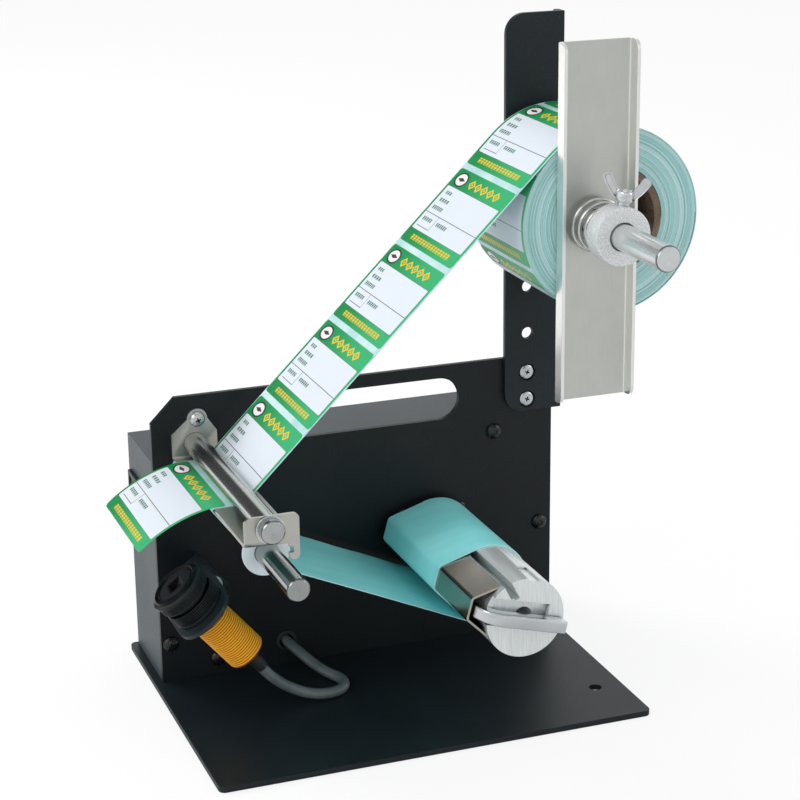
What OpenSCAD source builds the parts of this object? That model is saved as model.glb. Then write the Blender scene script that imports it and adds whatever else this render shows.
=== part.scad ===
// Bench-top label dispenser: a motor-driven reel pulls the liner over a peel edge,
// and an eye under the edge stops it when a label stands out ready to take.
// Millimetres. X runs to the right, Y away from the user, Z up.
// The origin lies on the base plate's underside, midway between its sides and near its middle.

/* [Base plate] */
// Width of the base plate, left to right
base_w = 195; // [180:1:230]
// Depth of the base plate, front to back
base_d = 155; // [154:1:200]
// Distance from the origin to the base plate's front edge
base_reach = 80; // [76:1:100]
// Thickness of the base sheet
base_t = 2.5; // [1.5:0.1:4]
// Radius of the base plate's corners
base_corner_r = 3; // [2:1:12]
// Diameter of the bolt-down hole at the front right
bolt_hole_d = 5.6; // [4:0.1:8]
// Distance of the bolt-down hole from the right edge
bolt_hole_side = 13; // [8:1:25]
// Distance of the bolt-down hole from the front edge
bolt_hole_front = 30; // [10:1:45]

/* [Front plate] */
// Width of the upright plate
plate_w = 190; // [184:1:210]
// Height of the upright plate above the housing
plate_rise = 29; // [27:0.1:45]
// Thickness of the upright plate
plate_t = 2.4; // [1.5:0.1:3]
// Distance from the base's front edge to the plate's front face
plate_setback = 106.5; // [100:0.5:110]
// Distance from the base's left edge to the plate's left edge
plate_side = 3.7; // [1:0.1:6]
// Size of the cut-off corner at the top left
plate_chamfer = 11; // [4:1:14]
// Overall width of the carrying slot
handle_w = 97.8; // [80:0.1:104]
// Height of the carrying slot
handle_h = 19.7; // [14:0.1:20]
// Metal left above the carrying slot
handle_rim = 5.9; // [4:0.1:8]

/* [Rear housing] */
// Depth of the housing behind the plate
housing_d = 44.2; // [43:0.1:46]
// Height of the housing above the base plate
housing_h = 104.4; // [96:0.1:120]
// Thickness of the housing sheet
housing_t = 1.5; // [1:0.1:2]
// Width of the rim that the housing is screwed on by
housing_rim = 10; // [9:0.5:12]

/* [Roll arm] */
// Width of the roll arm
arm_w = 27.8; // [25:0.1:32]
// Thickness of the roll arm
arm_t = 2.4; // [1.5:0.1:3]
// Height of the roll arm
arm_h = 182.2; // [170:0.1:200]
// Gap between the housing's top and the arm's lower end
arm_gap = 3.4; // [2:0.1:6]
// Depth of the stiffening flange, bent back along the plate's right edge
arm_flange = 10; // [6:0.5:16]
// Gap between the plate's right edge and the flange
arm_edge_gap = 1.1; // [0.5:0.1:2]
// Radius of the arm's left corners
arm_corner_r = 9; // [4:1:10]
// Distance of the hole line from the arm's left edge
arm_hole_inset = 11; // [10:0.5:13]
// Diameter of the height holes
arm_hole_d = 5.4; // [4:0.1:7]
// Height of the first hole above the arm's lower end
arm_hole_first = 37.1; // [30:0.1:40]
// Spacing of the height holes
arm_hole_pitch = 22; // [20:0.5:24]

/* [Label roll] */
// Outer diameter of the label roll
roll_d = 80.6; // [60:0.1:90]
// Width of the liner that carries the labels
web_w = 61.2; // [40:0.1:70]
// Distance from the plate's front face to the web's inner edge
web_inset = 7.6; // [7:0.1:10]
// Outer diameter of the cardboard core
core_d = 46.6; // [42:0.1:54]
// Wall of the cardboard core
core_wall = 3.1; // [2:0.1:4]
// Distance of the roll's axis to the right of the shaft's axis
roll_shift = 9; // [0:0.5:12]

/* [Shaft and stop] */
// Diameter of the roll shaft
shaft_d = 11; // [8:0.1:11.4]
// Reach of the roll shaft in front of the upright plate
shaft_reach = 139.2; // [128:0.1:160]
// Width of the retaining plate
holder_w = 34.2; // [28:0.1:44]
// Height of the retaining plate
holder_h = 152.5; // [110:0.5:170]
// Thickness of the retaining plate
holder_t = 1.5; // [1:0.1:2]
// Depth of the retaining plate's folded edges
holder_lip = 8; // [4:0.5:12]
// Outer diameter of the stop collar
collar_d = 24.5; // [20:0.5:30]
// Length of the stop collar
collar_l = 10; // [8:0.5:14]
// Bore of the stop collar
collar_bore = 12; // [11.6:0.1:14]
// Lean of the wing screw from upright, to the right
stop_lean = 9.3; // [0:0.1:20]
// Length of the stop spring
spring_l = 18.2; // [14:0.1:22]
// Outer diameter of the spring's wide end
spring_d = 24.4; // [20:0.1:28]
// Wire diameter of the spring
spring_wire = 1.8; // [1.2:0.1:2]

/* [Peel station] */
// Diameter of the press rod
press_rod_d = 10; // [7:0.5:11]
// Distance of the press rod's axis from the plate's left edge
press_rod_side = 19; // [17:0.1:21]
// Height of the press rod's axis above the guide rod's axis
press_rod_rise = 27.2; // [25:0.1:29]
// Length of the press rod in front of the peel bracket's end plate
press_rod_end = 5; // [3:0.5:22]
// Width of the tray under the press rod
tray_w = 22.5; // [20:0.1:26]
// Reach of the peel bracket in front of the upright plate
tray_reach = 113; // [90:0.5:130]
// Thickness of the peel bracket's sheet
tray_t = 1.5; // [1:0.1:2]
// Height of the end plate above the tray's top
end_plate_h = 11; // [10.6:0.1:16]

/* [Liner guide] */
// Diameter of the liner guide rod
liner_rod_d = 10; // [7:0.5:12]
// Distance of the guide rod's axis from the plate's left edge
liner_rod_side = 29.7; // [27:0.1:34]
// Gap between the guide rod's nut and the housing's rim above it
liner_nut_gap = 4.7; // [1:0.1:8]
// Reach of the guide rod in front of the upright plate
liner_rod_reach = 114.7; // [100:0.1:130]
// Diameter of the guide disc
guide_disc_d = 20.6; // [16:0.1:24]
// Thickness of the guide disc
guide_disc_t = 1.5; // [1:0.1:3]

/* [Take-up reel] */
// Diameter of the take-up drum
drum_d = 35; // [32:0.5:38]
// Distance of the drum's axis from the plate's right edge
drum_side = 59.8; // [54:0.1:62]
// Height of the drum's axis above the base plate
drum_lift = 54.3; // [48:0.1:56]
// Reach of the drum in front of the upright plate
drum_reach = 108.3; // [90:0.1:115]
// Bore of the drum
drum_bore = 8; // [6:0.5:10]
// Distance from the drum's axis to the clip's outer face
clip_reach = 24.3; // [22:0.1:26]
// Width of the clip's outer face
clip_face_w = 9.6; // [8:0.1:12]
// Width of the clip's square bar along the drum
clip_bar_w = 6.5; // [4:0.5:7]
// Height of the clip's square bar
clip_bar_h = 4; // [2:0.1:5]
// Resting turn of the reel, anticlockwise from the front
reel_turn = -15; // [-15:1:0]

/* [Label sensor] */
// Thread diameter of the sensor barrel
sensor_d = 18; // [12:0.5:20]
// Length of the threaded barrel behind the bracket
barrel_back = 30; // [20:0.5:32]
// Angle of the sensor's axis from upright, leaning left
sensor_lean = 40; // [35:1:45]
// Distance of the sensor's axis in front of the upright plate
sensor_out = 41.5; // [38:0.5:46]
// Distance of the bracket's eye from the plate's left edge
sensor_side = 8.9; // [8:0.1:12]
// Height of the bracket's eye above the base plate
sensor_lift = 50.3; // [47:0.1:54]
// Width of the sensor bracket
ear_w = 27; // [25:0.5:29]
// Thickness of the sensor bracket
ear_t = 2; // [1.5:0.1:3]
// Diameter of the sensor cable
cable_d = 4.8; // [3:0.1:5]

/* [Hidden] */
$fn = 48;

// Clearances and small fits
running = 0.08;     // radial clearance of a shaft in its bearing
loose = 0.3;        // clearance between pieces that move past each other
hole_play = 0.2;    // radial clearance of a screw in its hole
eps = 0.01;         // overlap that makes a cut run right through

// Finishes
black = "#262b2e";
steel = "#b9bab4";
bright = "#d8dadb";
liner_teal = "#7cc8c3";
green = "#3fb878";

// Base and upright plate
base_top = base_t;
base_front = -base_reach;
plate_y = base_front + plate_setback;
plate_back = plate_y + plate_t;
plate_left = -base_w / 2 + plate_side;
plate_right = plate_left + plate_w;
housing_top = base_top + housing_h;
plate_top = housing_top + plate_rise;
handle_z = plate_top - handle_rim - handle_h / 2;
plate_mid = (plate_left + plate_right) / 2;
housing_back = plate_back + housing_d;

// Roll arm and shaft
arm_right = plate_right + arm_edge_gap + arm_t;
arm_left = arm_right - arm_w;
arm_low = housing_top + arm_gap;
arm_front = plate_y - arm_t;
arm_hole_x = arm_left + arm_hole_inset;
shaft_x = arm_hole_x;
shaft_hole_index = 3;
shaft_z = arm_low + arm_hole_first + shaft_hole_index * arm_hole_pitch;
shaft_tip = plate_y - shaft_reach;
arm_screw_zs = [5.5, 18.4];
arm_screw_d = 4;
shaft_stud_d = 5;
wing_thread_d = 5;

// Web and roll
web_back = plate_y - web_inset;
web_front = web_back - web_w;
web_t = 0.4;
liner_t = 0.3;
roll_x = shaft_x + roll_shift;
roll_z = shaft_z - 0.4;
roll_r = roll_d / 2;
flange_t = arm_front - web_back - loose;
flange_d = 60;
holder_back = web_front - loose;
holder_front = holder_back - holder_t;
spring_back = holder_front - loose;
spring_front = spring_back - spring_l;
collar_back = spring_front;
collar_front = collar_back - collar_l;
collar_mid = (collar_back + collar_front) / 2;

// Liner guide rod and disc
liner_nut_across = 10;
guide_x = plate_left + liner_rod_side;
guide_z = housing_top - housing_rim - liner_nut_gap - liner_nut_across / 2;
guide_r = liner_rod_d / 2;
guide_tip = plate_y - liner_rod_reach;
disc_back = web_front - loose;

// Peel station
press_x = plate_left + press_rod_side;
press_z = guide_z + press_rod_rise;
press_r = press_rod_d / 2;
tray_top = press_z - press_r - loose - web_t;
tray_left = press_x + 0.9 - tray_w / 2;
tray_right = tray_left + tray_w;
tray_low = tray_top - tray_t;
end_front = plate_y - tray_reach;
end_back = end_front + tray_t;
press_tip = end_front - press_rod_end;
tab_screw_x = press_x + 1.4;
tab_screw_z = press_z + 11.1;
tab_round_r = 4.6;
tab_shoulder_z = press_z + 5;
ring_t = 1;
ring_groove = 0.7;
hook_drop = 7;

// Take-up reel
reel_x = plate_right - drum_side;
reel_z = base_top + drum_lift;
drum_r = drum_d / 2;
drum_gap = 4;
drum_back = plate_y - drum_gap;
drum_front = plate_y - drum_reach;
wrap_t = 0.8;
clip_t = 1;
clip_end_gap = 3;
clip_bar_drop = 0.4;
liner_wander = 2;
slot_w = 3.6;
slot_depth = 8;
slot_angle = 131;
groove_w = 12;
groove_rise = 1;
groove_depth = 2.6;
groove_end = 10;
drive_d = drum_bore - 2 * 0.02;
drive_tip = drum_back - 40;

// Sensor
eye_x = plate_left + sensor_side;
eye_z = base_top + sensor_lift;
eye_y = plate_y - sensor_out;
ear_end = ear_w / 2 + 4;
ear_step = 24;
foot_left = 9;
foot_mid = (ear_w / 2 - foot_left) / 2;
nut_d = sensor_d + 6;
nut_l = 7.4;
nut_skirt = 1.9;
ring_gap = 2.1;
ring_d = sensor_d + 6.8;
ring_l = 4;
head_d = sensor_d + 8;
head_l = 3.1;
head_rim_d = sensor_d + 3.8;
lens_d = sensor_d - 1.6;
ring_start = ear_t + nut_l + ring_gap;
head_start = ring_start + ring_l;
thread_pitch = 1;
thread_depth = 0.45;
relief_d = cable_d + 2.2;
relief_l = 10.3;

// Cable route, from the strain relief to the hole in the upright plate
CABLE = [[-59.3, -15, 21.7], [-55.2, -15, 17], [-50.4, -15.1, 12.7], [-45, -15.4, 9.2], [-39.5, -15.9, 6.7],
    [-34, -16.4, 5.3], [-29, -16.5, 4.95], [-24.2, -15.2, 4.95], [-20.7, -11.7, 4.95], [-19.4, -6.9, 4.95],
    [-20.4, -2.4, 4.95], [-22.8, 2.6, 5.1], [-25.6, 7.6, 6], [-28.4, 12.4, 7.8], [-31.1, 17, 9.9],
    [-33.5, 21.4, 11.9], [-35.2, 26, 13.3], [-36, 31, 13.9], [-36.2, 36, 14]];
cable_steps = 3;
cable_sides = 10;
cable_hole_x = -35.6;
cable_hole_z = 13.8;
cable_hole_d = 9.6;

// Drive and electrics inside the housing
gearbox_w = 46;
gearbox_h = 32;
gearbox_d = 22;
motor_d = 24.4;
motor_l = 31;
motor_y = plate_back + 13;
bush_flange_d = 18;
bush_d = 12;
board_w = 66;
board_h = 46;
board_t = 1.6;
spacer_l = 8;
board_x = -52;
board_z = base_top + 42;
board_inset = 4;
housing_in = housing_back - housing_t;
board_y = housing_in - spacer_l;
inlet_x = 62;
inlet_z = base_top + 18;
switch_y = plate_y + 35.5;
switch_z = base_top + 77.5;
switch_w = 15;
switch_h = 21;
rocker_tilt = 8;
rocker_pin_d = 2.4;
rocker_pin_l = 12;
rocker_x = plate_left + 3.5;

// Screws of the upright plate, as [x, z]
screw_rim = housing_rim / 2;
plate_nut_across = 5.5;
plate_nut_h = 2.4;
nut_gap = 0.15;
low_screw_lift = 18.2;
side_screw_lift = 51.2;
bracket_side = 26.1;
bracket_screw_lift = 7.8;
PLATE_SCREWS = [
    [plate_left + housing_t + plate_nut_across / 2 + nut_gap, base_top + low_screw_lift],
    [plate_right - screw_rim - 0.8, base_top + side_screw_lift],
    [shaft_x - 15.6, housing_top - screw_rim - 0.3],
    [plate_left + bracket_side, base_top + bracket_screw_lift],
    [plate_right - bracket_side, base_top + bracket_screw_lift]];
BRACKET_XS = [plate_left + bracket_side, plate_right - bracket_side];
bracket_w = 16;
bracket_leg = 14;
bracket_t = 1.5;
plate_screw_d = 3;
base_screw_d = 4;
base_screw_head = 7.4;
plate_screw_head = 7.6;

// A point at radius r and angle a
function polar(r, a) = [r * cos(a), r * sin(a)];

// Points of an arc about c
function arc(c, r, a0, a1, steps) = [for (i = [0:steps]) c + polar(r, a0 + (a1 - a0) * i / steps)];

// Unit normal, to the left of the way from p to q
function left_of(p, q) = let (d = q - p, l = norm(d)) [-d[1] / l, d[0] / l];

// Outline of a strip of thickness t along a line of points
function strip_outline(line, t) =
    let (last = len(line) - 1,
        side = [for (i = [0:last]) let (n = left_of(line[max(i - 1, 0)], line[min(i + 1, last)])) n * t / 2])
    concat([for (i = [0:last]) line[i] + side[i]], [for (i = [last:-1:0]) line[i] - side[i]]);

// A flat outline in X and Z, thickened from y_back towards the front
module slab(y_back, t) {
    translate([0, y_back, 0]) rotate([90, 0, 0]) linear_extrude(t) children();
}

// A round bar along Y, from y_back towards the front
module bar(x, z, y_back, l, d) {
    translate([x, y_back, z]) rotate([90, 0, 0]) cylinder(d = d, h = l);
}

// A rectangle with corner radii [low left, low right, high right, high left]
module rounded(x0, z0, x1, z1, r) {
    difference() {
        translate([x0, z0]) square([x1 - x0, z1 - z0]);
        if (r[0] > 0) translate([x0 - eps, z0 - eps]) square(r[0] + eps);
        if (r[1] > 0) translate([x1 - r[1], z0 - eps]) square(r[1] + eps);
        if (r[2] > 0) translate([x1 - r[2], z1 - r[2]]) square(r[2] + eps);
        if (r[3] > 0) translate([x0 - eps, z1 - r[3]]) square(r[3] + eps);
    }
    if (r[0] > 0) translate([x0 + r[0], z0 + r[0]]) circle(r[0]);
    if (r[1] > 0) translate([x1 - r[1], z0 + r[1]]) circle(r[1]);
    if (r[2] > 0) translate([x1 - r[2], z1 - r[2]]) circle(r[2]);
    if (r[3] > 0) translate([x0 + r[3], z1 - r[3]]) circle(r[3]);
}

// Cross recess, cut into a head whose top lies at z = 0
module cross_recess(w, depth) {
    for (turn = [0, 90]) rotate([0, 0, turn]) translate([-w / 2, -w / 8, -depth]) cube([w, w / 4, depth + 1]);
}

// Screw with a domed head above z = 0 and a shank below
module domed_screw(head_d, head_h, d, l) {
    difference() {
        union() {
            intersection() {
                cylinder(d = head_d, h = head_h);
                translate([0, 0, head_h - head_d * 0.62]) sphere(r = head_d * 0.62);
            }
            translate([0, 0, -l]) cylinder(d = d, h = l + eps);
        }
        translate([0, 0, head_h]) cross_recess(head_d * 0.55, head_h * 0.7);
    }
}

// Countersunk screw with its head flush at z = 0
module flat_screw(head_d, d, l) {
    cone_h = (head_d - d) / 2;
    difference() {
        union() {
            translate([0, 0, -cone_h]) cylinder(d1 = d, d2 = head_d, h = cone_h);
            translate([0, 0, -l]) cylinder(d = d, h = l);
        }
        cross_recess(head_d * 0.55, cone_h * 0.8);
    }
}

// Hexagon nut from z = 0 up, with a clear bore
module hex_nut(across, h, bore) {
    difference() {
        cylinder(d = across / cos(30), h = h, $fn = 6);
        translate([0, 0, -eps]) cylinder(d = bore, h = h + 2 * eps);
    }
}

// Base plate with rounded corners and its bolt-down hole
module base_plate() {
    color(black) difference() {
        linear_extrude(base_t)
            rounded(-base_w / 2, base_front, base_w / 2, base_front + base_d, [for (i = [0:3]) base_corner_r]);
        translate([base_w / 2 - bolt_hole_side, base_front + bolt_hole_front, -eps])
            cylinder(d = bolt_hole_d, h = base_t + 2 * eps);
        for (x = BRACKET_XS) translate([x, plate_back + bracket_leg / 2, -eps]) {
            cylinder(d = base_screw_d + 2 * hole_play, h = base_t + 2 * eps);
            cylinder(d1 = base_screw_head + 2 * hole_play, d2 = base_screw_d + 2 * hole_play, h = 1.7);
        }
    }
}

// Angles that stand the upright plate on the base
module corner_brackets() {
    color(steel) for (x = BRACKET_XS) difference() {
        union() {
            translate([x - bracket_w / 2, plate_back, base_top]) cube([bracket_w, bracket_leg, bracket_t]);
            translate([x - bracket_w / 2, plate_back, base_top]) cube([bracket_w, bracket_t, bracket_leg]);
        }
        translate([x, plate_back + bracket_leg / 2, base_top - eps])
            cylinder(d = base_screw_d + 2 * hole_play, h = bracket_t + 2 * eps);
        bar(x, PLATE_SCREWS[3][1], plate_back + bracket_t + eps, bracket_t + 2 * eps, plate_screw_d + 2 * hole_play);
    }
}

// Countersunk screws up through the base into the angles, with their nuts
module base_screws() {
    color(steel) for (x = BRACKET_XS) translate([x, plate_back + bracket_leg / 2, 0]) {
        rotate([180, 0, 0]) flat_screw(base_screw_head, base_screw_d, base_t + bracket_t + 3.4);
        translate([0, 0, base_top + bracket_t]) hex_nut(7, 3, base_screw_d);
    }
}

// Upright plate: cut corner, carrying slot, and holes for all that it carries
module front_plate() {
    color(black) slab(plate_back, plate_t) difference() {
        polygon([[plate_left, base_top], [plate_right, base_top], [plate_right, plate_top],
            [plate_left + plate_chamfer, plate_top], [plate_left, plate_top - plate_chamfer]]);
        rounded(plate_mid - handle_w / 2, handle_z - handle_h / 2, plate_mid + handle_w / 2,
            handle_z + handle_h / 2, [for (i = [0:3]) handle_h / 2]);
        for (p = PLATE_SCREWS) translate(p) circle(d = plate_screw_d + 2 * hole_play);
        for (z = arm_screw_zs) translate([arm_hole_x, arm_low + z]) circle(d = arm_screw_d + 2 * hole_play);
        translate([tab_screw_x, tab_screw_z]) circle(d = 3 + 2 * hole_play);
        translate([guide_x, guide_z]) circle(d = 6 + 2 * hole_play);
        translate([reel_x, reel_z]) circle(d = bush_d);
        for (s = [-1, 1]) translate([reel_x + s * 14, reel_z + 10]) circle(d = 3 + 2 * hole_play);
        for (p = bracket_holes()) translate(p) circle(d = 4 + 2 * hole_play);
        translate([cable_hole_x, cable_hole_z]) circle(d = cable_hole_d - 2.4);
    }
}

// Sheet cover behind the plate: top, sides and back, with a rim to screw on by
module rear_housing() {
    t = housing_t;
    color(black) difference() {
        translate([plate_left, plate_back, base_top]) cube([plate_w, housing_d, housing_h]);
        translate([plate_left + t, plate_back + t, base_top - eps])
            cube([plate_w - 2 * t, housing_d - 2 * t, housing_h - t + eps]);
        translate([plate_left + housing_rim, plate_back - eps, base_top - eps])
            cube([plate_w - 2 * housing_rim, t + 2 * eps, housing_h - housing_rim + eps]);
        for (i = [0:2]) bar(PLATE_SCREWS[i][0], PLATE_SCREWS[i][1], plate_back + t + eps, t + 2 * eps,
            plate_screw_d + 2 * hole_play);
        bar(inlet_x, inlet_z, housing_back + eps, t + 2 * eps, 8);
        translate([plate_left - eps, switch_y - switch_w / 2 + 1, switch_z - switch_h / 2 + 1])
            cube([t + 2 * eps, switch_w - 2, switch_h - 2]);
        for (p = board_corners()) bar(p[0], p[1], housing_back + eps, t + 2 * eps, 3 + 2 * hole_play);
        for (i = [0:11]) translate([30 + i * 4, housing_back - t - eps, housing_top - 34.4])
            cube([2, t + 2 * eps, 22]);
    }
}

// Black domed screws on the front of the upright plate
module plate_screws() {
    color("#16181a") for (p = PLATE_SCREWS) translate([p[0], plate_y, p[1]]) rotate([90, 0, 0])
        domed_screw(plate_screw_head, 2.4, plate_screw_d, plate_t + 1.5 + 3.4);
}

// Nuts behind the plate screws
module plate_nuts() {
    color(steel) for (i = [0:len(PLATE_SCREWS) - 1]) {
        t = i < 3 ? housing_t : bracket_t;
        translate([PLATE_SCREWS[i][0], plate_back + t + plate_nut_h, PLATE_SCREWS[i][1]]) rotate([90, 0, 0])
            rotate([0, 0, i < 3 ? 30 : 0]) hex_nut(plate_nut_across, plate_nut_h, plate_screw_d);
    }
}

// Worm gearbox behind the plate
module gearbox() {
    color("#8d9092") difference() {
        translate([reel_x - gearbox_w / 2, plate_back, reel_z - gearbox_h / 2]) cube([gearbox_w, gearbox_d, gearbox_h]);
        bar(reel_x, reel_z, plate_back + 17, 17 + eps, drive_d + 2 * running);
        bar(reel_x, reel_z, plate_back + 3, 3 + eps, bush_flange_d);
        for (s = [-1, 1]) bar(reel_x + s * 14, reel_z + 10, plate_back + 8, 8 + eps, 3);
        for (x = [-1, 1], z = [-1, 1])
            translate([reel_x + x * gearbox_w / 2, plate_back - eps, reel_z + z * gearbox_h / 2])
                rotate([-90, 0, 0]) cylinder(r = 4, h = gearbox_d + 2 * eps, $fn = 4);
    }
}

// Motor on the gearbox's left side
module motor() {
    right = reel_x - gearbox_w / 2;
    color("#a9acae") translate([right, motor_y, reel_z]) rotate([0, -90, 0]) {
        cylinder(d = motor_d, h = motor_l);
        translate([0, 0, motor_l]) cylinder(d = 10, h = 2);
        for (s = [-1, 1]) translate([s * 7 - 1.5, -0.25, motor_l]) cube([3, 0.5, 4]);
    }
}

// Screws from the plate's front into the gearbox
module motor_screws() {
    color("#16181a") for (s = [-1, 1]) translate([reel_x + s * 14, plate_y, reel_z + 10]) rotate([90, 0, 0])
        domed_screw(5.6, 1.6, 3, plate_t + 8);
}

// Output shaft, from the gearbox into the drum
module drive_shaft() {
    color(bright) bar(reel_x, reel_z, plate_back + 16, plate_back + 16 - drive_tip, drive_d);
}

// Flanged bronze bush in the upright plate
module drive_bush() {
    color("#b08d4f") difference() {
        union() {
            bar(reel_x, reel_z, plate_back + 2.5, plate_t + 2.5, bush_d - 0.02);
            bar(reel_x, reel_z, plate_back + 2.5, 2.5, bush_flange_d - 0.4);
        }
        bar(reel_x, reel_z, plate_back + 2.5 + eps, plate_t + 2.5 + 2 * eps, drive_d + 2 * running);
    }
}

// Places of the circuit board's fixing screws
function board_corners() = [for (sx = [-1, 1], sz = [-1, 1])
    [board_x + sx * (board_w / 2 - board_inset), board_z + sz * (board_h / 2 - board_inset)]];

// Circuit board that runs and stops the motor
module control_board() {
    color("#1f6b3a") slab(board_y, board_t) difference() {
        translate([board_x - board_w / 2, board_z - board_h / 2]) square([board_w, board_h]);
        for (p = board_corners()) translate(p) circle(d = 3 + 2 * hole_play);
    }
}

// Terminal block, relay, capacitors and heat sink on the board
module board_parts() {
    y = board_y - board_t;
    low = board_z - 0.456 * board_h;
    mid = board_z - 0.13 * board_h;
    high = board_z + 0.26 * board_h;
    color("#2f62a8") translate([board_x - 0.39 * board_w, y - 10, low]) cube([0.6 * board_w, 10, 0.174 * board_h]);
    color("#1d1f20") translate([board_x + 0.12 * board_w, y - 12, mid]) cube([0.24 * board_w, 12, 0.26 * board_h]);
    color("#30343a") for (i = [0:1]) bar(board_x - (0.27 - i * 0.18) * board_w, board_z + 0.04 * board_h, y, 14, 9);
    color("#9a9da0") translate([board_x - 0.27 * board_w, y - 12, high]) difference() {
        cube([0.45 * board_w, 12, 0.174 * board_h]);
        for (i = [0:5]) translate([(0.04 + i * 0.07) * board_w, -eps, 2]) cube([2, 9, board_h]);
    }
}

// Spacers between the board and the housing's back
module board_spacers() {
    color("#c9a15a") for (p = board_corners()) difference() {
        bar(p[0], p[1], housing_in, spacer_l, 6);
        bar(p[0], p[1], housing_in + eps, spacer_l + 2 * eps, 3);
    }
}

// Screws from the housing's back through spacers and board
module board_screws() {
    l = housing_t + spacer_l + board_t + 2;
    color(steel) for (p = board_corners()) {
        translate([p[0], housing_back, p[1]]) rotate([-90, 0, 0]) domed_screw(5.6, 1.6, 3, l);
        bar(p[0], p[1], board_y - board_t, 2, 5.4);
    }
}

// Round socket for the power supply's plug
module power_inlet() {
    color("#17191a") difference() {
        union() {
            bar(inlet_x, inlet_z, housing_back + 1.6, 1.6, 11);
            bar(inlet_x, inlet_z, housing_back + eps, 14, 8 - 0.1);
            bar(inlet_x, inlet_z, housing_in, 2.5, 11);
        }
        bar(inlet_x, inlet_z, housing_back + 1.6 + eps, 11, 5.6);
    }
    color(bright) bar(inlet_x, inlet_z, housing_back + 0.6, 10.1, 2);
}

// Frame of the power switch, clipped into the housing's left side
module switch_body() {
    color("#17191a") difference() {
        union() {
            translate([plate_left - 1.6, switch_y - switch_w / 2, switch_z - switch_h / 2])
                cube([1.6, switch_w, switch_h]);
            translate([plate_left - eps, switch_y - switch_w / 2 + 1.1, switch_z - switch_h / 2 + 1.1])
                cube([14, switch_w - 2.2, switch_h - 2.2]);
        }
        translate([plate_left - 1.6 - eps, switch_y - switch_w / 2 + 2, switch_z - switch_h / 2 + 2])
            cube([8, switch_w - 4, switch_h - 4]);
        bar(rocker_x, switch_z, switch_y + rocker_pin_l / 2 + 0.1, rocker_pin_l + 0.2, rocker_pin_d + 2 * running);
    }
}

// Rocker of the power switch, tilted on its pins
module switch_rocker() {
    w = switch_w - 4 - 2 * loose;
    h = switch_h - 4 - 4 * loose;
    color("#8c2420") {
        intersection() {
            translate([rocker_x, switch_y, switch_z]) rotate([0, rocker_tilt, 0]) rotate([90, 0, 0])
                linear_extrude(w, center = true) polygon([[-5.6, -h / 2 + 0.6], [-4.4, 0], [-5.6, h / 2 - 0.6],
                    [-4, h / 2 - 0.4], [1.4, 4], [1.4, -4], [-4, -h / 2 + 0.4]]);
            translate([plate_left - 6, switch_y - w / 2, switch_z - h / 2]) cube([12, w, h]);
        }
        bar(rocker_x, switch_z, switch_y + rocker_pin_l / 2, rocker_pin_l, rocker_pin_d);
    }
}

// Arm that carries the roll, folded back along its right edge
module roll_arm() {
    color(black) {
        slab(plate_y, arm_t) difference() {
            rounded(arm_left, arm_low, arm_right, arm_low + arm_h, [arm_corner_r, 0, 0, arm_corner_r]);
            for (i = [0:shaft_hole_index])
                translate([arm_hole_x, arm_low + arm_hole_first + i * arm_hole_pitch]) circle(d = arm_hole_d);
            for (z = arm_screw_zs) translate([arm_hole_x, arm_low + z]) circle(d = 7.4 + 2 * hole_play);
        }
        difference() {
            translate([arm_right - arm_t, plate_y - eps, arm_low]) cube([arm_t, arm_flange - arm_t + eps, arm_h]);
            for (z = [arm_low, arm_low + arm_h]) translate([arm_right - arm_t - eps, plate_y + arm_flange - arm_t, z])
                rotate([45, 0, 0]) translate([0, -2.5, -2.5]) cube([arm_t + 2 * eps, 5, 5]);
        }
    }
}

// Countersunk screws that hold the arm on the plate
module arm_screws() {
    color(bright) for (z = arm_screw_zs) translate([arm_hole_x, arm_front, arm_low + z]) rotate([90, 0, 0])
        difference() {
            union() {
                translate([0, 0, -arm_t]) cylinder(d = 7.4, h = arm_t);
                translate([0, 0, -arm_t - plate_t - 3.4]) cylinder(d = arm_screw_d, h = plate_t + 3.4 + eps);
            }
            cross_recess(4.4, 1.4);
        }
}

// Nuts behind the arm's screws
module arm_nuts() {
    color(steel) for (z = arm_screw_zs) translate([arm_hole_x, plate_back + 3, arm_low + z]) rotate([90, 0, 0])
        hex_nut(7, 3, arm_screw_d);
}

// Roll shaft: a plain bar with a threaded stud through one of the arm's height holes
module roll_shaft() {
    chamfer = 0.8;
    body_l = arm_front - shaft_tip;
    color(bright) {
        bar(shaft_x, shaft_z, arm_front, body_l - chamfer, shaft_d);
        translate([shaft_x, shaft_tip + chamfer, shaft_z]) rotate([90, 0, 0])
            cylinder(d1 = shaft_d, d2 = shaft_d - 2 * chamfer, h = chamfer);
        bar(shaft_x, shaft_z, plate_y + 8, 8 + arm_t + eps, shaft_stud_d);
    }
}

// Nut and washer on the shaft's stud, behind the arm
module shaft_nut() {
    color(steel) translate([shaft_x, plate_y, shaft_z]) rotate([-90, 0, 0]) {
        difference() {
            cylinder(d = 15, h = 1.2);
            translate([0, 0, -eps]) cylinder(d = shaft_stud_d, h = 1.2 + 2 * eps);
        }
        translate([0, 0, 1.2]) hex_nut(8, 4.4, shaft_stud_d);
    }
}

// Flange that the roll's inner side runs against
module inner_flange() {
    color("#202325") difference() {
        bar(shaft_x, shaft_z, arm_front, flange_t, flange_d);
        bar(shaft_x, shaft_z, arm_front + eps, flange_t + 2 * eps, shaft_d + 0.02);
    }
}

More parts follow.
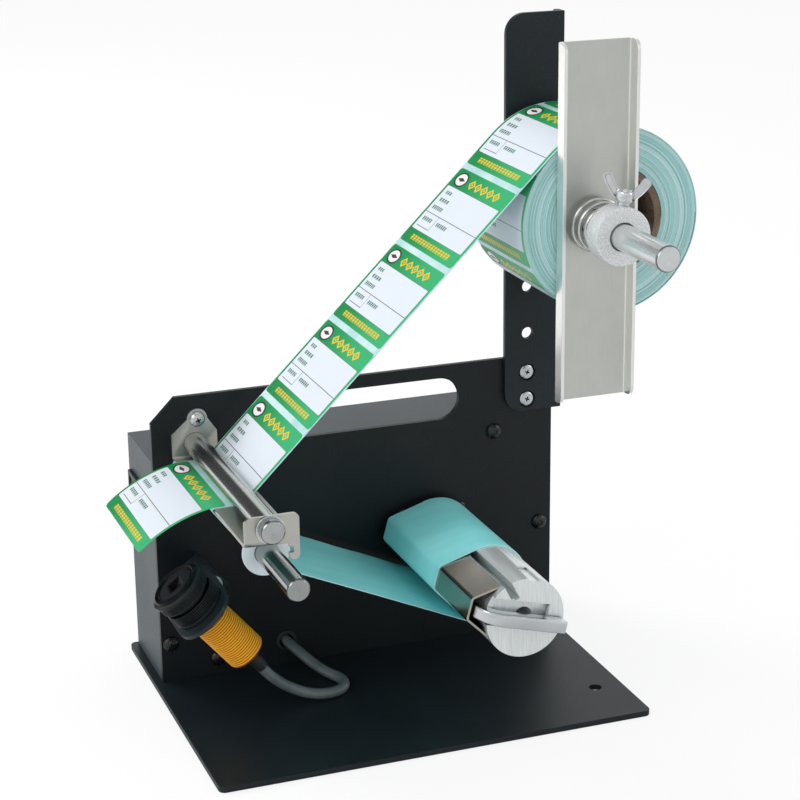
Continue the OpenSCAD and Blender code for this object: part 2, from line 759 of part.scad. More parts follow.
// Stainless channel that keeps the roll in line, lips towards the front
module retaining_plate() {
    half = holder_w / 2;
    bend = 2.4;
    inner = bend - holder_t;
    lip_r = 4;
    color(steel) difference() {
        translate([shaft_x, holder_back, shaft_z - holder_h / 2]) linear_extrude(holder_h) difference() {
            rounded(-half, -holder_lip, half, 0, [0, 0, bend, bend]);
            rounded(-half + holder_t, -holder_lip - 1, half - holder_t, -holder_t, [0, 0, inner, inner]);
        }
        bar(shaft_x, shaft_z, holder_back + 1, holder_t + 2, shaft_d + 2 * loose);
        for (s = [-1, 1]) translate([shaft_x, holder_back - holder_lip, shaft_z + s * holder_h / 2])
            rotate([90, 0, 90]) linear_extrude(holder_w + 2, center = true) difference() {
                translate([-1, s > 0 ? -lip_r : -1]) square([lip_r + 1, lip_r + 1]);
                translate([lip_r, -s * lip_r]) circle(lip_r);
            }
    }
}

// Cone-shaped coil spring between channel and collar
module stop_spring() {
    turns = 3.4;
    steps = 60;
    sides = 8;
    wire_r = spring_wire / 2;
    run = spring_l - spring_wire - 0.2;
    end_d = collar_d - 4;
    function coil_r(u) = (spring_d * (1 - u) + end_d * u - spring_wire) / 2;
    function coil_at(u) = [shaft_x + coil_r(u) * cos(360 * turns * u), spring_back - wire_r - 0.1 - run * u,
        shaft_z + coil_r(u) * sin(360 * turns * u)];
    color(bright) tube([for (i = [0:steps]) coil_at(i / steps)], wire_r, sides);
}

// Places things round the shaft, in the collar's own turned frame
module on_collar() {
    translate([shaft_x, collar_mid, shaft_z]) rotate([0, stop_lean, 0]) children();
}

// Set collar on the shaft
module stop_collar() {
    color("#c4c7c8") difference() {
        bar(shaft_x, shaft_z, collar_back, collar_l, collar_d);
        bar(shaft_x, shaft_z, collar_back + eps, collar_l + 2 * eps, collar_bore);
        on_collar() cylinder(d = wing_thread_d + 2 * running, h = collar_d);
    }
}

// Wing screw in the collar's top, with two curved ears
module wing_screw() {
    hub_z = collar_d / 2 + 1.4;
    ear_line = [[1, hub_z + 2], [2.6, hub_z + 2.5], [4.4, hub_z + 4.2], [6, hub_z + 6.2], [7.3, hub_z + 8.2],
        [8.4, hub_z + 10.6]];
    color(bright) on_collar() {
        translate([0, 0, shaft_d / 2 + 0.05]) cylinder(d = wing_thread_d, h = hub_z - shaft_d / 2);
        translate([0, 0, hub_z]) cylinder(d1 = 6.4, d2 = 7.4, h = 1.2);
        translate([0, 0, hub_z + 1.2]) cylinder(d = 7.4, h = 3);
        translate([0, 0, hub_z + 4.2]) cylinder(d1 = 7.4, d2 = 5.6, h = 1);
        rotate([0, 0, -33.4]) for (s = [0, 180]) rotate([0, 0, s]) rotate([90, 0, 0])
            linear_extrude(2, center = true) polygon(strip_outline(ear_line, 4));
    }
}

// Cardboard core of the roll
module roll_core() {
    color("#8a6f58") difference() {
        bar(roll_x, roll_z, web_back, web_w, core_d);
        bar(roll_x, roll_z, web_back + eps, web_w + 2 * eps, core_d - 2 * core_wall);
    }
}

// Labels and liner wound on the core
module label_roll() {
    color(liner_teal) difference() {
        bar(roll_x, roll_z, web_back, web_w, roll_d);
        bar(roll_x, roll_z, web_back + eps, web_w + 2 * eps, core_d);
    }
}

// Route of the web: off the roll's top, under the press rod and over the tray to its left edge
roll_c = [roll_x, roll_z];
press_c = [press_x, press_z];
guide_c = [guide_x, guide_z];
reel_c = [reel_x, reel_z];
web_roll_r = roll_r + loose + web_t / 2;
web_press_r = press_r + loose + web_t / 2;
fall = roll_c - press_c;
fall_angle = atan2(fall[1], fall[0]) + asin((web_roll_r + web_press_r) / norm(fall));
function web_line() = concat(arc(roll_c, web_roll_r, 78, fall_angle + 90, 22),
    arc(press_c, web_press_r, fall_angle - 90, -90, 8), [[tray_left, press_z - web_press_r]]);

// Label strip from the roll to the peel edge
module label_web() {
    color(green) slab(web_back, web_w) polygon(strip_outline(web_line(), web_t));
}

// Label that stands out over the peel edge, half off its liner
module presented_label() {
    bend_r = 62;
    start_fall = 9;
    span = 33;
    start = [tray_left - 0.3, tray_top + web_t - liner_t / 2];
    centre = start - polar(bend_r, 90 + start_fall);
    color(green) slab(web_back - 0.6, web_w)
        polygon(strip_outline(arc(centre, bend_r, 90 + start_fall, 90 + start_fall + span, 16), liner_t));
}

// Route of the bare liner: back round the peel edge, under the guide rod, to the reel's underside
edge_c = [tray_left, tray_low + tray_t / 2];
edge_r = tray_t / 2 + liner_t / 2;
liner_guide_r = guide_r + 0.1 + liner_t / 2;
liner_reel_r = drum_r + wrap_t + loose + liner_t / 2;
drop = guide_c - edge_c;
drop_angle = atan2(drop[1], drop[0]) - asin((liner_guide_r - edge_r) / norm(drop));
run_line = reel_c - guide_c;
run_angle = atan2(run_line[1], run_line[0]) - asin((liner_reel_r - liner_guide_r) / norm(run_line));

// Liner from the peel edge round the guide rod
module liner_return() {
    line = concat(arc(edge_c, edge_r, 170, drop_angle + 270, 8),
        arc(guide_c, liner_guide_r, drop_angle - 90, run_angle - 90, 8));
    color(liner_teal) slab(web_back + liner_wander, web_w + liner_wander) polygon(strip_outline(line, liner_t));
}

// Liner from the guide rod to the reel
module liner_run() {
    color(liner_teal) slab(web_back + liner_wander, web_w + liner_wander) polygon(strip_outline(
        [guide_c + polar(liner_guide_r, run_angle - 90), reel_c + polar(liner_reel_r, run_angle - 90)], liner_t));
}

// Folded sheet of the peel station: tab on the plate, tray, and end plate
module peel_bracket() {
    tab_w = tray_w - 2;
    color(steel) {
        slab(plate_y, tray_t) difference() {
            union() {
                translate([tray_left, tray_low]) square([tab_w, tab_shoulder_z - tray_low]);
                polygon([[tray_left, tab_shoulder_z], [tab_screw_x - tab_round_r, tab_screw_z],
                    [tab_screw_x + tab_round_r, tab_screw_z], [tray_left + tab_w, tab_shoulder_z]]);
                translate([tab_screw_x, tab_screw_z]) circle(tab_round_r);
            }
            translate(press_c) circle(d = press_rod_d + 2 * running);
            translate([tab_screw_x, tab_screw_z]) circle(d = 3 + 2 * hole_play);
        }
        translate([tray_left, end_front, tray_low]) cube([tray_w, tray_reach, tray_t]);
        slab(end_back, tray_t) difference() {
            rounded(tray_left, tray_low, tray_right, tray_top + end_plate_h, [0, 0, 2.5, 2.5]);
            translate(press_c) circle(d = press_rod_d + 2 * running);
        }
        slab(end_back, tray_t) difference() {
            rounded(tray_right - 4.4, tray_low - hook_drop, tray_right, tray_low + eps, [2, 2, 0, 0]);
            rounded(tray_right - 5, tray_low - hook_drop + 3, tray_right - 2.2, tray_low - 1.4, [0, 1, 1, 0]);
        }
    }
}

// Pan-head screw that holds the peel bracket on the plate
module peel_screw() {
    color(bright) translate([tab_screw_x, plate_y - tray_t, tab_screw_z]) rotate([90, 0, 0])
        domed_screw(7.2, 2.6, 3, tray_t + plate_t + 3);
}

// Rod that holds the web down on the tray
module press_rod() {
    chamfer = 0.6;
    l = plate_y - loose - press_tip;
    groove_r = press_r - ring_groove;
    color(bright) translate([press_x, plate_y - loose, press_z]) rotate([90, 0, 0]) rotate_extrude()
        polygon([[0, 0], [press_r, 0], [press_r, tray_reach + 0.1 - loose], [groove_r, tray_reach + 0.1 - loose],
            [groove_r, tray_reach + 0.3 - loose + ring_t], [press_r, tray_reach + 0.3 - loose + ring_t],
            [press_r, l - chamfer], [press_r - chamfer, l], [0, l]]);
}

// Retaining ring in the press rod's groove, in front of the end plate
module rod_rings() {
    color("#74777a") translate([press_x, end_front - 0.2, press_z]) rotate([90, 0, 0]) difference() {
        cylinder(d = press_rod_d + 2, h = ring_t);
        translate([0, 0, -eps]) cylinder(r = press_r - ring_groove + 0.02, h = ring_t + 2 * eps);
    }
}

// Rod that turns the liner towards the reel
module liner_rod() {
    chamfer = 0.6;
    color(bright) {
        bar(guide_x, guide_z, plate_y, plate_y - guide_tip - chamfer, liner_rod_d);
        translate([guide_x, guide_tip + chamfer, guide_z]) rotate([90, 0, 0])
            cylinder(d1 = liner_rod_d, d2 = liner_rod_d - 2 * chamfer, h = chamfer);
        bar(guide_x, guide_z, plate_back + 8, plate_t + 8 + eps, 6);
    }
}

// Nut on the guide rod's spigot, behind the plate
module liner_rod_nut() {
    color(steel) translate([guide_x, plate_back, guide_z]) rotate([-90, 0, 0])
        hex_nut(liner_nut_across, 5, 6);
}

// Disc on the guide rod that keeps the liner from wandering
module guide_disc() {
    color("#dfe6ea") difference() {
        bar(guide_x, guide_z, disc_back, guide_disc_t, guide_disc_d);
        bar(guide_x, guide_z, disc_back + eps, guide_disc_t + 2 * eps, liner_rod_d + 2 * running);
    }
}

// Places things in the reel's own turned frame, with its axis at the origin
module on_reel() {
    translate([reel_x, 0, reel_z]) rotate([0, -reel_turn, 0]) children();
}

// Middle line of the clip's folded sheet, round the reel's own X axis
clip_bend_r = 1.4;
clip_bend_c = [-clip_reach + 1.2, clip_face_w / 2 - 0.9];
clip_flap_angle = 120;
function clip_line() =
    let (tip = clip_bend_c + polar(clip_bend_r, clip_flap_angle) + polar(12.5, clip_flap_angle - 90))
    concat([tip], arc(clip_bend_c, clip_bend_r, clip_flap_angle, 180, 4),
        arc([clip_bend_c[0], -clip_bend_c[1]], clip_bend_r, 180, 360 - clip_flap_angle, 4), [[tip[0], -tip[1]]]);

// Aluminium drum, slotted for the liner's end and grooved for the clip's handle
module takeup_drum() {
    color("#cdd1d3") on_reel() difference() {
        bar(0, 0, drum_back, drum_back - drum_front, drum_d);
        bar(0, 0, drum_back + eps, drum_back - drum_front + 2 * eps, drum_bore);
        rotate([0, -slot_angle, 0]) translate([drum_r - slot_depth, drum_front - eps, -slot_w / 2])
            cube([slot_depth + 2, drum_back - drum_front + 2 * eps, slot_w]);
        translate([-drum_r - 1, drum_front - eps, groove_rise - groove_w / 2])
            cube([drum_r + 1 + groove_end, groove_depth + eps, groove_w]);
        translate([-drum_r - 1, drum_front - eps, -clip_bar_h / 2 - clip_bar_drop - loose])
            cube([4.4, drum_back - drum_front + 2 * eps, clip_bar_h + 2 * loose]);
        rotate([0, -91, 0]) translate([drum_r - 1.2, drum_front - eps, -2.6]) cube([4, 15, 5.2]);
        translate([0, drum_back - 8, -drum_r]) cylinder(d = 4, h = drum_r);
    }
}

// Screw that fixes the drum on its shaft
module drum_set_screw() {
    color("#2b2d2f") on_reel() translate([0, drum_back - 8, -drum_r + 1]) difference() {
        cylinder(d = 3.96, h = drum_r - 1 - drive_d / 2 - 0.05);
        translate([0, 0, -eps]) cylinder(d = 2.3, h = 2, $fn = 6);
    }
}

// Folded sheet of the clip, which the liner is wound over
module clip_sheet() {
    color(steel) on_reel() slab(drum_back, drum_back - drum_front - clip_end_gap) difference() {
        polygon(strip_outline(clip_line(), clip_t));
        circle(r = drum_r + loose);
    }
}

// Square bar of the clip: a leg in the folded sheet and a handle across the drum's end
module clip_bar() {
    leg_x = -clip_reach + clip_t + 0.2;
    low = -clip_bar_h / 2 - clip_bar_drop;
    y_end = drum_front - 0.2;
    color(bright) on_reel() {
        translate([leg_x, y_end - clip_bar_w + 4, low])
            cube([clip_bar_w, drum_back - 2 - y_end + clip_bar_w - 4, clip_bar_h]);
        translate([leg_x + 4, y_end - clip_bar_w, low]) cube([drum_r - 1 - leg_x - 4, clip_bar_w, clip_bar_h]);
        translate([leg_x + 4, y_end - clip_bar_w + 4, low]) intersection() {
            cylinder(r = 4, h = clip_bar_h);
            translate([-4, -4, 0]) cube([4 + eps, 4 + eps, clip_bar_h]);
        }
    }
}

// Spent liner wound over drum and clip
module wound_liner() {
    corner_r = clip_bend_r + clip_t / 2 + 0.05;
    module outline(grow) {
        hull() {
            circle(r = drum_r + 0.05 + grow, $fn = 72);
            for (s = [-1, 1]) translate([clip_bend_c[0], s * clip_bend_c[1]]) circle(r = corner_r + grow, $fn = 32);
        }
    }
    color(liner_teal) on_reel() slab(web_back + liner_wander, web_w + liner_wander) difference() {
        outline(wrap_t);
        outline(0);
    }
}

// Places things in the sensor's frame: Z along its axis, origin at the bracket's eye
module on_sensor() {
    translate([eye_x, eye_y, eye_z]) rotate([0, -sensor_lean, 0]) children();
}

// Fixing holes of the sensor bracket in the upright plate, as [x, z]
function bracket_holes() = [for (s = [-1, 1])
    let (u = foot_mid + s * 6, v = -14.5)
    [eye_x + u * cos(sensor_lean) - v * sin(sensor_lean), eye_z + u * sin(sensor_lean) + v * cos(sensor_lean)]];

// Angle bracket: an ear with the eye for the sensor, and a foot on the plate
module sensor_bracket() {
    reach = plate_y - eye_y;
    color("#1b1e20") on_sensor() difference() {
        union() {
            linear_extrude(ear_t) {
                rounded(-ear_w / 2, -ear_end, ear_w / 2, ear_step, [ear_w / 2 - 0.5, ear_w / 2 - 0.5, 0, 2]);
                translate([-foot_left, 0]) square([foot_left + ear_w / 2, reach]);
            }
            translate([-foot_left, reach - ear_t, -20]) cube([foot_left + ear_w / 2, ear_t, 20 + eps]);
        }
        translate([0, 0, -eps]) cylinder(d = sensor_d + 0.4, h = ear_t + 2 * eps);
        for (s = [-1, 1]) translate([foot_mid + s * 6, reach + eps, -14.5]) rotate([90, 0, 0])
            cylinder(d = 4 + 2 * hole_play, h = ear_t + 2 * eps);
    }
}

// Screws that hold the sensor bracket on the plate
module bracket_screws() {
    color(bright) for (p = bracket_holes()) translate([p[0], plate_y - ear_t, p[1]]) rotate([90, 0, 0])
        domed_screw(8.6, 2.4, 4, ear_t + plate_t);
}

// Lock nut against the ear and ring nut behind the head, with grip ribs
module sensor_nuts() {
    ribs = 36;
    color("#1e2123") on_sensor() {
        for (n = [[ear_t, nut_l, nut_d, nut_skirt], [ring_start, ring_l, ring_d, 0.7]])
            translate([0, 0, n[0]]) difference() {
                cylinder(d = n[2], h = n[1]);
                translate([0, 0, -eps]) cylinder(d = sensor_d + 0.1, h = n[1] + 2 * eps);
                for (i = [0:ribs - 1]) rotate([0, 0, i * 360 / ribs]) translate([n[2] / 2 - 0.5, -0.45, n[3]])
                    cube([1, 0.9, n[1] - n[3] - 0.7]);
            }
    }
}

// Threaded barrel of the sensor
module sensor_barrel() {
    count = floor((barrel_back - 2) / thread_pitch);
    r = sensor_d / 2;
    thread = [for (i = [0:count - 1]) each [
        [r - thread_depth, -barrel_back + 1 + (i + 0.05) * thread_pitch],
        [r, -barrel_back + 1 + (i + 0.35) * thread_pitch],
        [r, -barrel_back + 1 + (i + 0.65) * thread_pitch],
        [r - thread_depth, -barrel_back + 1 + (i + 0.95) * thread_pitch]]];
    color("#d98a1c") on_sensor() rotate_extrude() polygon(concat([[0, -barrel_back], [r - 1.4, -barrel_back],
        [r - thread_depth, -barrel_back + 0.9]], thread, [[r - thread_depth, 0], [r - 0.1, 0], [r - 0.1, head_start], [0, head_start]]));
}

// Dark hood round the lens
module sensor_head() {
    color("#141617") on_sensor() translate([0, 0, head_start]) difference() {
        union() {
            cylinder(d = head_d, h = head_l - 1.2);
            translate([0, 0, head_l - 1.2]) cylinder(d1 = head_d, d2 = head_rim_d, h = 1.2);
        }
        translate([0, 0, head_l - 2.2]) cylinder(d = lens_d + 0.1, h = 3);
    }
}

// Square-windowed lens in the hood
module sensor_lens() {
    color("#0b0c0d") on_sensor() translate([0, 0, head_start + head_l - 2.2]) difference() {
        cylinder(d = lens_d, h = 2);
        translate([-4.4, -4.4, 1]) cube([8.8, 8.8, 2]);
    }
}

// Soft sleeve where the cable leaves the barrel
module strain_relief() {
    color("#22201f") on_sensor() translate([0, 0, -barrel_back - relief_l])
        cylinder(d1 = relief_d - 0.8, d2 = relief_d, h = relief_l);
}

// One point of a smooth curve through four points
function between(p0, p1, p2, p3, u) = 0.5 * (2 * p1 + (p2 - p0) * u + (2 * p0 - 5 * p1 + 4 * p2 - p3) * u * u
    + (3 * p1 - p0 - 3 * p2 + p3) * u * u * u);

// A route made smooth, with some steps between its points
function smooth(p, steps) = let (last = len(p) - 1) concat(
    [for (i = [0:last - 1], k = [0:steps - 1])
        between(p[max(i - 1, 0)], p[i], p[i + 1], p[min(i + 2, last)], k / steps)], [p[last]]);

// A closed tube along a line of points
function unit(v) = v / norm(v);
function way(p, i) = unit(p[min(i + 1, len(p) - 1)] - p[max(i - 1, 0)]);
function start_side(t) = unit(cross(t, abs(t[2]) < 0.8 ? [0, 0, 1] : [0, 1, 0]));
function sides_of(p, i, side) = i >= len(p) ? []
    : let (t = way(p, i), s = unit(side - t * (side * t))) concat([s], sides_of(p, i + 1, s));
module tube(p, r, sides) {
    n = len(p);
    s = sides_of(p, 0, start_side(way(p, 0)));
    rings = [for (i = [0:n - 1]) let (b = cross(way(p, i), s[i])) for (k = [0:sides - 1])
        p[i] + r * (s[i] * cos(360 * k / sides) + b * sin(360 * k / sides))];
    walls = [for (i = [0:n - 2], k = [0:sides - 1]) let (a = i * sides + k, c = i * sides + (k + 1) % sides)
        [a, a + sides, c + sides, c]];
    polyhedron(rings, concat(walls, [[for (k = [0:sides - 1]) k]],
        [[for (k = [sides - 1:-1:0]) (n - 1) * sides + k]]), convexity = 6);
}

// Sensor cable, from the strain relief over the base into the upright plate
module sensor_cable() {
    color("#4d5658") tube(smooth(CABLE, cable_steps), cable_d / 2, cable_sides);
}

// Rubber ring round the cable in the plate
module cable_grommet() {
    color("#17191a") difference() {
        union() {
            bar(cable_hole_x, cable_hole_z, plate_back + 1.2, 1.2, cable_hole_d);
            bar(cable_hole_x, cable_hole_z, plate_back, plate_t, cable_hole_d - 2.5);
            bar(cable_hole_x, cable_hole_z, plate_y, 1.2, cable_hole_d);
        }
        bar(cable_hole_x, cable_hole_z, plate_back + 2, plate_t + 4, cable_d + 1.6);
    }
}

base_plate();
corner_brackets();
base_screws();
front_plate();
rear_housing();
plate_screws();
plate_nuts();
gearbox();
motor();
motor_screws();
drive_shaft();
drive_bush();
control_board();
board_parts();
board_spacers();
board_screws();
power_inlet();
switch_body();
switch_rocker();
roll_arm();
arm_screws();
arm_nuts();
roll_shaft();
shaft_nut();
inner_flange();
retaining_plate();
stop_spring();
stop_collar();
wing_screw();
roll_core();
label_roll();
label_web();
presented_label();
liner_return();
liner_run();
peel_bracket();
peel_screw();
press_rod();
rod_rings();
liner_rod();
liner_rod_nut();
guide_disc();
takeup_drum();
drum_set_screw();
clip_sheet();
clip_bar();
wound_liner();
sensor_bracket();
bracket_screws();
sensor_nuts();
sensor_barrel();
sensor_head();
sensor_lens();
strain_relief();
sensor_cable();
cable_grommet();
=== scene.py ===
import math
import random

import bmesh
import bpy
from mathutils import Matrix, Vector, geometry, noise


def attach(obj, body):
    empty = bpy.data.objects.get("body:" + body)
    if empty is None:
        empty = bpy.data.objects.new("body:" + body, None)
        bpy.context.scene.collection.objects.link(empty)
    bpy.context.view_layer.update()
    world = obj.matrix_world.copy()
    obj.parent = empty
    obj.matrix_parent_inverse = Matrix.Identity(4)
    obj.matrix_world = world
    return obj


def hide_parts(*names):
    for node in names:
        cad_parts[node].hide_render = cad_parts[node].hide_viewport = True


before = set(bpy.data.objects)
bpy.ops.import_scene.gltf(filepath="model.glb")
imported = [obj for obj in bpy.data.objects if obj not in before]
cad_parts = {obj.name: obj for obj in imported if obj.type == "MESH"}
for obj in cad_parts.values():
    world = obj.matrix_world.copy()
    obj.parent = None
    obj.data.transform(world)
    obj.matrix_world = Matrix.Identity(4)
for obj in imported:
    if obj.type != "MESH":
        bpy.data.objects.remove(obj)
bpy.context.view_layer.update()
scene = bpy.context.scene
scene.view_settings.view_transform = "Standard"
MM = 0.001


# Camera at the photographer's place: about 0.9 m in front of the base, a little to its left and
# above it, looking right and down through a long lens.


def shown(name, data):
    """A new object that holds data, put in the scene."""
    made = bpy.data.objects.new(name, data)
    scene.collection.objects.link(made)
    return made


CAMERA_PLACE = Vector((-297.68, -843.96, 419.01)) * MM
CAMERA_YAW, CAMERA_DIP, CAMERA_ROLL = (math.radians(angle) for angle in (20.1357, 17.7584, 0.69958))
camera = shown("camera", bpy.data.cameras.new("camera"))
camera.data.sensor_width, camera.data.lens = 36, 97.0587
camera.matrix_world = (
    Matrix.Translation(CAMERA_PLACE) @ Matrix.Rotation(-CAMERA_YAW, 4, "Z")
    @ Matrix.Rotation(math.pi / 2 - CAMERA_DIP, 4, "X") @ Matrix.Rotation(-CAMERA_ROLL, 4, "Z"))
scene.camera = camera


# Studio: a white sweep under and behind the dispenser, in an even white room that is a little dimmer
# at the photographer's side and overhead. A dark board at the back left gives the bright rods their
# dark stripe, and four soft lamps shape the rest.


class Level:
    """A value on its way through a node tree. Arithmetic on it adds the Math nodes that work it out."""

    def __init__(self, tree, socket):
        self.tree, self.socket = tree, socket

    def maths(self, operation, *others):
        return self.tree.node("ShaderNodeMath", dict(enumerate((self,) + others)), operation=operation)

    def __rsub__(self, other):
        return self * -1 + other

    def __abs__(self):
        return self.maths("ABSOLUTE")

    def between(self, low, high):
        """0 at low, 1 at high, and a smooth change between them."""
        down = low > high
        span = {0: self, 1: min(low, high), 2: max(low, high), 3: float(down), 4: float(not down)}
        return self.tree.node("ShaderNodeMapRange", span, interpolation_type="SMOOTHSTEP")


# a & b is the lower of two levels, a | b the higher.
for signs, work in (("add radd", "ADD"), ("mul rmul", "MULTIPLY"), ("sub", "SUBTRACT"), ("truediv", "DIVIDE"),
                    ("mod", "FLOORED_MODULO"), ("and", "MINIMUM"), ("or", "MAXIMUM")):
    for sign in signs.split():
        setattr(Level, f"__{sign}__", lambda level, other, work=work: level.maths(work, other))


def shade(code):
    """A colour written as on a screen, such as 3fb878, as the numbers that a shader takes."""
    parts = [int(code[i:i + 2], 16) / 255 for i in (0, 2, 4)]
    return [c / 12.92 if c < 0.04045 else ((c + 0.055) / 1.055) ** 2.4 for c in parts] + [1.0]


class Tree:
    """A node tree with one way to add a node."""

    FAMILY = "ShaderNode"

    def __init__(self, nodes):
        self.nodes = nodes

    def node(self, kind, inputs=None, out=0, **settings):
        """Adds a node of the tree's family or a named one: its settings, then its sockets' values or links."""
        made = self.nodes.nodes.new(kind if "Node" in kind else self.FAMILY + kind)
        for name, value in settings.items():
            setattr(made, name, value)
        for key, value in (inputs or {}).items():
            if isinstance(value, Level):
                self.nodes.links.new(value.socket, made.inputs[key])
            else:
                made.inputs[key].default_value = value
        return Level(self, made.outputs[out]) if made.outputs else made

    def axes(self, spot):
        """The three numbers of a place."""
        return [self.node("ShaderNodeSeparateXYZ", {0: spot}, out=i) for i in range(3)]


class Finish(Tree):
    """A material with one Principled shader, and places on the piece in millimetres.

    Noise may vary it: tint by (size, detail, dark, light) and a span of the noise, gloss by (size,
    detail, least, spread) of its roughness, and relief by (size, detail, depth).
    """

    def __init__(self, name, colour, roughness=0.5, metallic=0.0, tint=(), gloss=(), relief=(), **plain):
        self.material = bpy.data.materials.new(name)
        self.material.use_nodes = True
        super().__init__(self.material.node_tree)
        self.shader = self.nodes.nodes["Principled BSDF"]
        plain.update(Base_Color=shade(colour), Roughness=roughness, Metallic=metallic)
        for socket, value in plain.items():
            self.shader.inputs[socket.replace("_", " ")].default_value = value
        if tint:
            clouds = self.grain(*tint[:2])
            self.feed(Base_Color=self.mix(clouds.between(*tint[4:]) if tint[4:] else clouds, *tint[2:4]))
        if gloss:
            self.feed(Roughness=self.grain(*gloss[:2]) * gloss[3] + gloss[2])
        if relief:
            self.bump(self.grain(*relief[:2]), relief[2])

    def place(self, squeeze=(1, 1, 1), shift=(0, 0, 0), turn=(0, 0, 0)):
        """Object coordinates in millimetres: each squeezed or stretched, then shifted."""
        return self.node("Mapping", {
            "Vector": self.node("TexCoord", out="Object"), "Scale": [1000 * s for s in squeeze],
            "Location": shift, "Rotation": [math.radians(angle) for angle in turn]})

    def grain(self, size, detail=2.0, roughness=0.5, spot=None):
        """Cloudy noise from 0 to 1, with clouds of about a size in millimetres."""
        return self.node("TexNoise", {
            "Vector": spot or self.place(), "Scale": 1 / size, "Detail": detail, "Roughness": roughness})

    def nook(self, reach, samples=8):
        """1 in the open, and less in a nook narrower than a reach in millimetres."""
        return self.node("AmbientOcclusion", {"Distance": reach * MM}, out="AO", samples=samples)

    def mix(self, factor, first, second):
        """From one colour to another; each is a code or comes from nodes."""
        ends = [end if isinstance(end, Level) else shade(end) for end in (first, second)]
        return self.node("Mix", {0: factor, 6: ends[0], 7: ends[1]}, out=2, data_type="RGBA")

    def feed(self, **sockets):
        """Links levels or colours to the shader's sockets."""
        for socket, value in sockets.items():
            self.nodes.links.new(value.socket, self.shader.inputs[socket.replace("_", " ")])

    def bump(self, height, depth, strength=1.0):
        """Relief, of a depth in millimetres for a height from 0 to 1."""
        self.feed(Normal=self.node("Bump", {"Strength": strength, "Distance": depth * MM, "Height": height}))


FLOOR_REACH, FLOOR_DROP, SWEEP_GLOW = 6.0, 0.0001, 1.08
scene.world = bpy.data.worlds.new("studio")
scene.world.use_nodes = True
sky = Tree(scene.world.node_tree)
sky_x, sky_y, sky_z = sky.axes(sky.node("TexCoord", out="Generated"))
seen_plain, seen_through, seen_mirrored = (
    sky.node("LightPath", out=f"Is {ray} Ray") for ray in ("Camera", "Transmission", "Glossy"))
room = (sky_y.between(-0.6, 0.75) * 0.2 + 0.8) * (1 - sky_z.between(0.4, 0.95) * 0.5)
board = (sky_x.between(-0.62, -0.5) & sky_x.between(0.16, 0.02) & sky_y.between(0.3, 0.5)
         & sky_z.between(0.75, 0.6))
room = room * (1 - seen_mirrored * board * 0.9)
seen = seen_plain | seen_through
sky_light = seen + (1 - seen) * room
background = sky.nodes.nodes["Background"]
sky.nodes.links.new(sky_light.socket, background.inputs["Strength"])
background.inputs["Color"].default_value = (1, 1, 1, 1)

floor_mesh = bpy.data.meshes.new("floor")
floor_mesh.from_pydata(
    [(x * FLOOR_REACH, y * FLOOR_REACH, 0) for x, y in ((-1, -1), (1, -1), (1, 1), (-1, 1))], [], [(0, 1, 2, 3)])
floor = shown("floor", floor_mesh)
floor.location.z = -FLOOR_DROP
sweep = Finish("white_sweep", "e6e6e6", 0.9)
# Seen from the camera the floor glows white, except where the AO finds a nook: there the glow is taken away, a
# painted shadow round the dispenser's foot.
sweep_seen = sweep.node("MixShader", {
    0: sweep.node("LightPath", out="Is Camera Ray") * sweep.nook(6).between(0.1, 0.5) * 0.75,
    1: Level(sweep, sweep.shader.outputs[0]), 2: sweep.node("Emission", {0: (1, 1, 1, 1), 1: SWEEP_GLOW})})
sweep.nodes.links.new(sweep_seen.socket, sweep.nodes.nodes["Material Output"].inputs[0])
floor_mesh.materials.append(sweep.material)


def lamp(name, place, aim, size, power, mirrored=True):
    """A soft square lamp, its place and the point it shines at in metres; bright metal may mirror it."""
    light = bpy.data.lights.new(name, "AREA")
    light.shape, light.size, light.energy = "SQUARE", size, power
    holder = shown(name, light)
    holder.location = place
    holder.rotation_euler = (Vector(aim) - Vector(place)).to_track_quat("-Z", "Y").to_euler()
    holder.visible_glossy = mirrored


lamp("left_softbox", (-1.3, -0.7, 1.1), (0, 0, 0.1), 0.9, 5.0)
lamp("top_softbox", (0.1, -0.2, 1.6), (0, 0, 0.1), 1.0, 1.5)
lamp("right_softbox", (1.4, -0.8, 0.8), (0, 0, 0.12), 0.6, 2.5)
lamp("back_light", (-0.9, 1.3, 0.9), (-0.5, 0.7, 0), 0.8, 16, mirrored=False)


# Sensor cable: a round grey PVC lead. It drops from the sensor's sleeve to the base, turns back in
# one open bend, and goes through the upright plate into the housing.


def smooth_route(points, steps):
    """A smooth route through points, with some steps between each two."""
    last = len(points) - 1
    route = []
    for i in range(last):
        a, b, c, d = (Vector(points[j]) for j in (max(i - 1, 0), i, i + 1, min(i + 2, last)))
        for k in range(steps):
            t = k / steps
            route.append(0.5 * (2 * b + (c - a) * t + (2 * a - 5 * b + 4 * c - d) * t * t
                                + (3 * b - a - 3 * c + d) * t ** 3))
    return route + [Vector(points[last])]


def traced(name, points):
    """A curve with one open spline through points in millimetres."""
    curve = bpy.data.curves.new(name, "CURVE")
    curve.dimensions = "3D"
    spline = curve.splines.new("POLY")
    spline.points.add(len(points) - 1)
    for spot, point in zip(spline.points, points):
        spot.co = (*(Vector(point) * MM), 1)
    return shown(name, curve)


